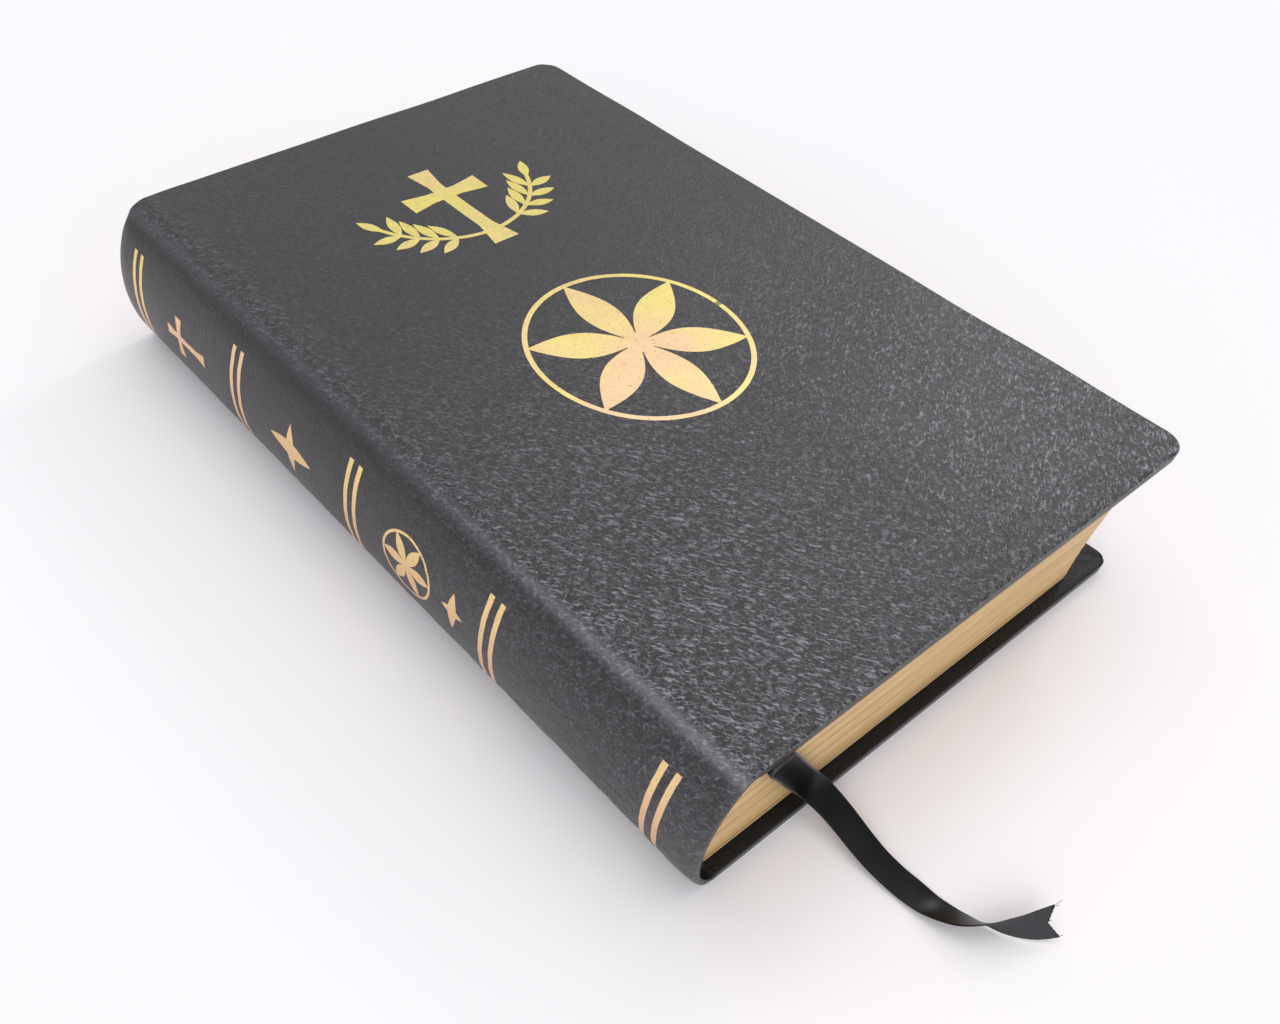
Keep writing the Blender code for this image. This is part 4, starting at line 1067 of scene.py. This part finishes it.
# %% Stamp the spine
PITCH = 48.3 * MM
first = 0.6 * MM - 2 * PITCH
rules = []
for number in range(10):
    pair, which = divmod(number, 2)
    centre = first + PITCH * pair + 3.3 * MM * (which - 0.5)
    rules += band(line((-13 * MM, centre), (13 * MM, centre), 41), 0.7 * MM)
foil_piece("spine_rules", rules, "book_block", *[f"spine_rule_{n:02d}" for n in range(1, 11)])
panels = [first + PITCH * (i + 0.5) for i in range(4)]
ornaments = cross((0, panels[3]), 18 * MM, 11.5 * MM, 0.9 * MM, 1.5 * MM)
ornaments += crossed_leaves((0, panels[2]), ((7.5 * MM, 1.6 * MM), (8.5 * MM, 2.2 * MM)))
ornaments += rosette((0, panels[1] + 3 * MM), 8.5 * MM, 0.7 * MM)
ornaments += crossed_leaves((0, panels[1] - 13 * MM), ((5.5 * MM, 1.4 * MM), (3.5 * MM, 1.2 * MM)))
foil_piece("spine_ornaments", ornaments, "book_block", "spine_cross_foil", "spine_lozenge_foil",
           "spine_rosette_foil", "spine_bud_foil")

# %% [markdown]
# ## Inside the case
#
# On the folds lie the sewing tapes, open mull cloth and lining paper, and a cord bound
# in black thread covers each end; they follow the same fold as the pages. Boards,
# endpapers and flyleaves keep the shape that the CAD gives them and get finishes.
# Woven cloth is two sets of waves across each other; thread wound round a cord is one
# set of waves along it.

# %% Make the cloth and thread materials
def woven(name, light, dark, thread, gaps, ways=("Y", "Z")):
    """Plain weave: the larger of two wave patterns, one for each set of threads."""
    material, tree, shader = new_material(name, Roughness=0.9, Specular_IOR_Level=0.2)
    place = add(tree, "TexCoord").outputs["Object"]
    sets = [add(tree, "TexWave", {"Vector": place, "Scale": WAVE_PERIOD / thread, "Distortion": 0.5,
                "Detail": 1.0}, bands_direction=way).outputs["Fac"] for way in ways]
    weave = sets[0] if len(sets) == 1 else add(tree, "Math", {0: sets[0], 1: sets[1]},
                                               operation="MAXIMUM").outputs[0]
    tint = add(tree, "ValToRGB", {"Fac": weave}, stops=[(gaps, dark), (gaps + 0.3, light)])
    bump = add(tree, "Bump", {"Strength": 0.6, "Distance": 0.1 * MM, "Height": weave})
    plug(tree, shader, Base_Color=tint.outputs[0], Normal=bump.outputs[0])
    return material


tape = woven("woven_cotton_tape", "#d8d0bf", "#b5ab97", 0.5 * MM, 0.2)
mull = woven("open_weave_mull", "#d9d3c4", "#6d675c", 0.9 * MM, 0.45)
thread = woven("black_silk_thread", "#1b1a1b", "#060606", 0.45 * MM, 0.1, ways=("Z",))
flyleaf = paper("gilt_edged_flyleaf_paper", "#e3cfa6", "#d0b684", 0.6, 0.03 * MM)

# %% Lay the spine layers on the folds
CORD, CORD_IN, CORD_PAST, CORD_SHORT = 0.75 * MM, 0.5 * MM, 0.9 * MM, 0.8 * MM


def layer(nodes, start, thickness):
    """Thin slabs on the folds at the places of these nodes, from x = fold(z) - start outwards."""
    grids = []
    for node in nodes:
        low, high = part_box(node)
        z, y = np.meshgrid(np.linspace(low.z, high.z, 33), np.linspace(low.y, high.y, 9))
        outer = np.stack([fold_at(z) - start - thickness, y, z], -1)
        inner = np.stack([fold_at(z) - start, y, z], -1)
        grids += [outer, inner, np.stack([rim(outer), rim(inner)])]
    return grids


def endband(node, way):
    """Cord over the ends of the folds, a tube just outside the pages at the head or the tail."""
    low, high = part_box(node)
    z = np.linspace(low.z + CORD_SHORT, high.z - CORD_SHORT, 41)
    y = np.full_like(z, way * (PAGE_HALF + CORD_PAST))
    return [tube(np.stack([fold_at(z) + CORD_IN, y, z], -1), CORD, 14)]


tapes = [f"sewing_tape_{n}" for n in range(1, 5)]
cloth, lined = ["spine_mull"], ["spine_lining_paper"]
for name, nodes, grids, material, slot in (
        ("sewing_tapes", tapes, layer(tapes, 0.05 * MM, 0.25 * MM), tape, "cotton_tape"),
        ("mull_cloth", cloth, layer(cloth, 0.35 * MM, 0.2 * MM), mull, "open_weave_mull"),
        ("spine_lining", lined, layer(lined, 0.6 * MM, 0.25 * MM), lining, "black_lining"),
        ("head_endband", ["headband"], endband("headband", 1), thread, "black_endband"),
        ("tail_endband", ["tailband"], endband("tailband", -1), thread, "black_endband")):
    made = dress(piece(name, grids), material)
    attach(made, "book_block")
    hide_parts(*nodes)

# %% Dress the CAD nodes that stay
finishes = {"front_board": card, "back_board": card, "spine_inlay": card,
            "front_pastedown": black_paper, "back_pastedown": black_paper,
            "front_flyleaf": flyleaf, "back_flyleaf": flyleaf}
for node, material in finishes.items():
    dress(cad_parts[node], material)
print(len(finishes), "CAD parts dressed")

# %% [markdown]
# ## Table and light
#
# The book lies on a plain white sheet under a white studio tent: light comes evenly
# from all sides. A large soft lamp hangs overhead, a little behind the book, a weak one
# fills the spine and the tail, and a small one at the right makes the grain near the
# tail glitter, while the shadow stays short and pale.

# %% Set the stage
sheet_material, tree, shader = new_material("matte_white_table", Roughness=0.9,
                                            Specular_IOR_Level=0.1)
place = add(tree, "TexCoord").outputs["Object"]
mottle = add(tree, "TexNoise", {"Vector": place, "Scale": 3.0, "Detail": 1.0})
tint = add(tree, "ValToRGB", {"Fac": mottle.outputs["Fac"]},
           stops=[(0.3, "#efedf0"), (0.7, "#f3f1f3")])
plug(tree, shader, Base_Color=tint.outputs[0])
bpy.ops.mesh.primitive_plane_add(size=8, location=(0, 0, -0.0001))
table = bpy.context.object
table.name = "table"
dress(table, sheet_material)

world = bpy.data.worlds.new("tent")
world.use_nodes = True
world.node_tree.nodes["Background"].inputs["Color"].default_value = colour("#fdfcff")
world.node_tree.nodes["Background"].inputs["Strength"].default_value = 0.62
bpy.context.scene.world = world


def lamp(name, place, target, size, power):
    """Square area lamp at a place, turned towards a target."""
    light = bpy.data.lights.new(name, "AREA")
    light.shape = "SQUARE"
    light.size = size
    light.energy = power
    stand = bpy.data.objects.new(name, light)
    bpy.context.scene.collection.objects.link(stand)
    turn = (Vector(target) - Vector(place)).to_track_quat("-Z", "Y")
    stand.matrix_world = Matrix.Translation(place) @ turn.to_matrix().to_4x4()


lamp("overhead", (0.15, 0.30, 1.25), (0.0, 0.0, 0.0), 1.5, 7.0)
lamp("window", (1.15, 0.30, 0.85), (0.0, 0.0, 0.0), 0.3, 2.1)
lamp("fill", (-0.9, -0.7, 0.8), (0.0, 0.0, 0.0), 0.9, 6.6)
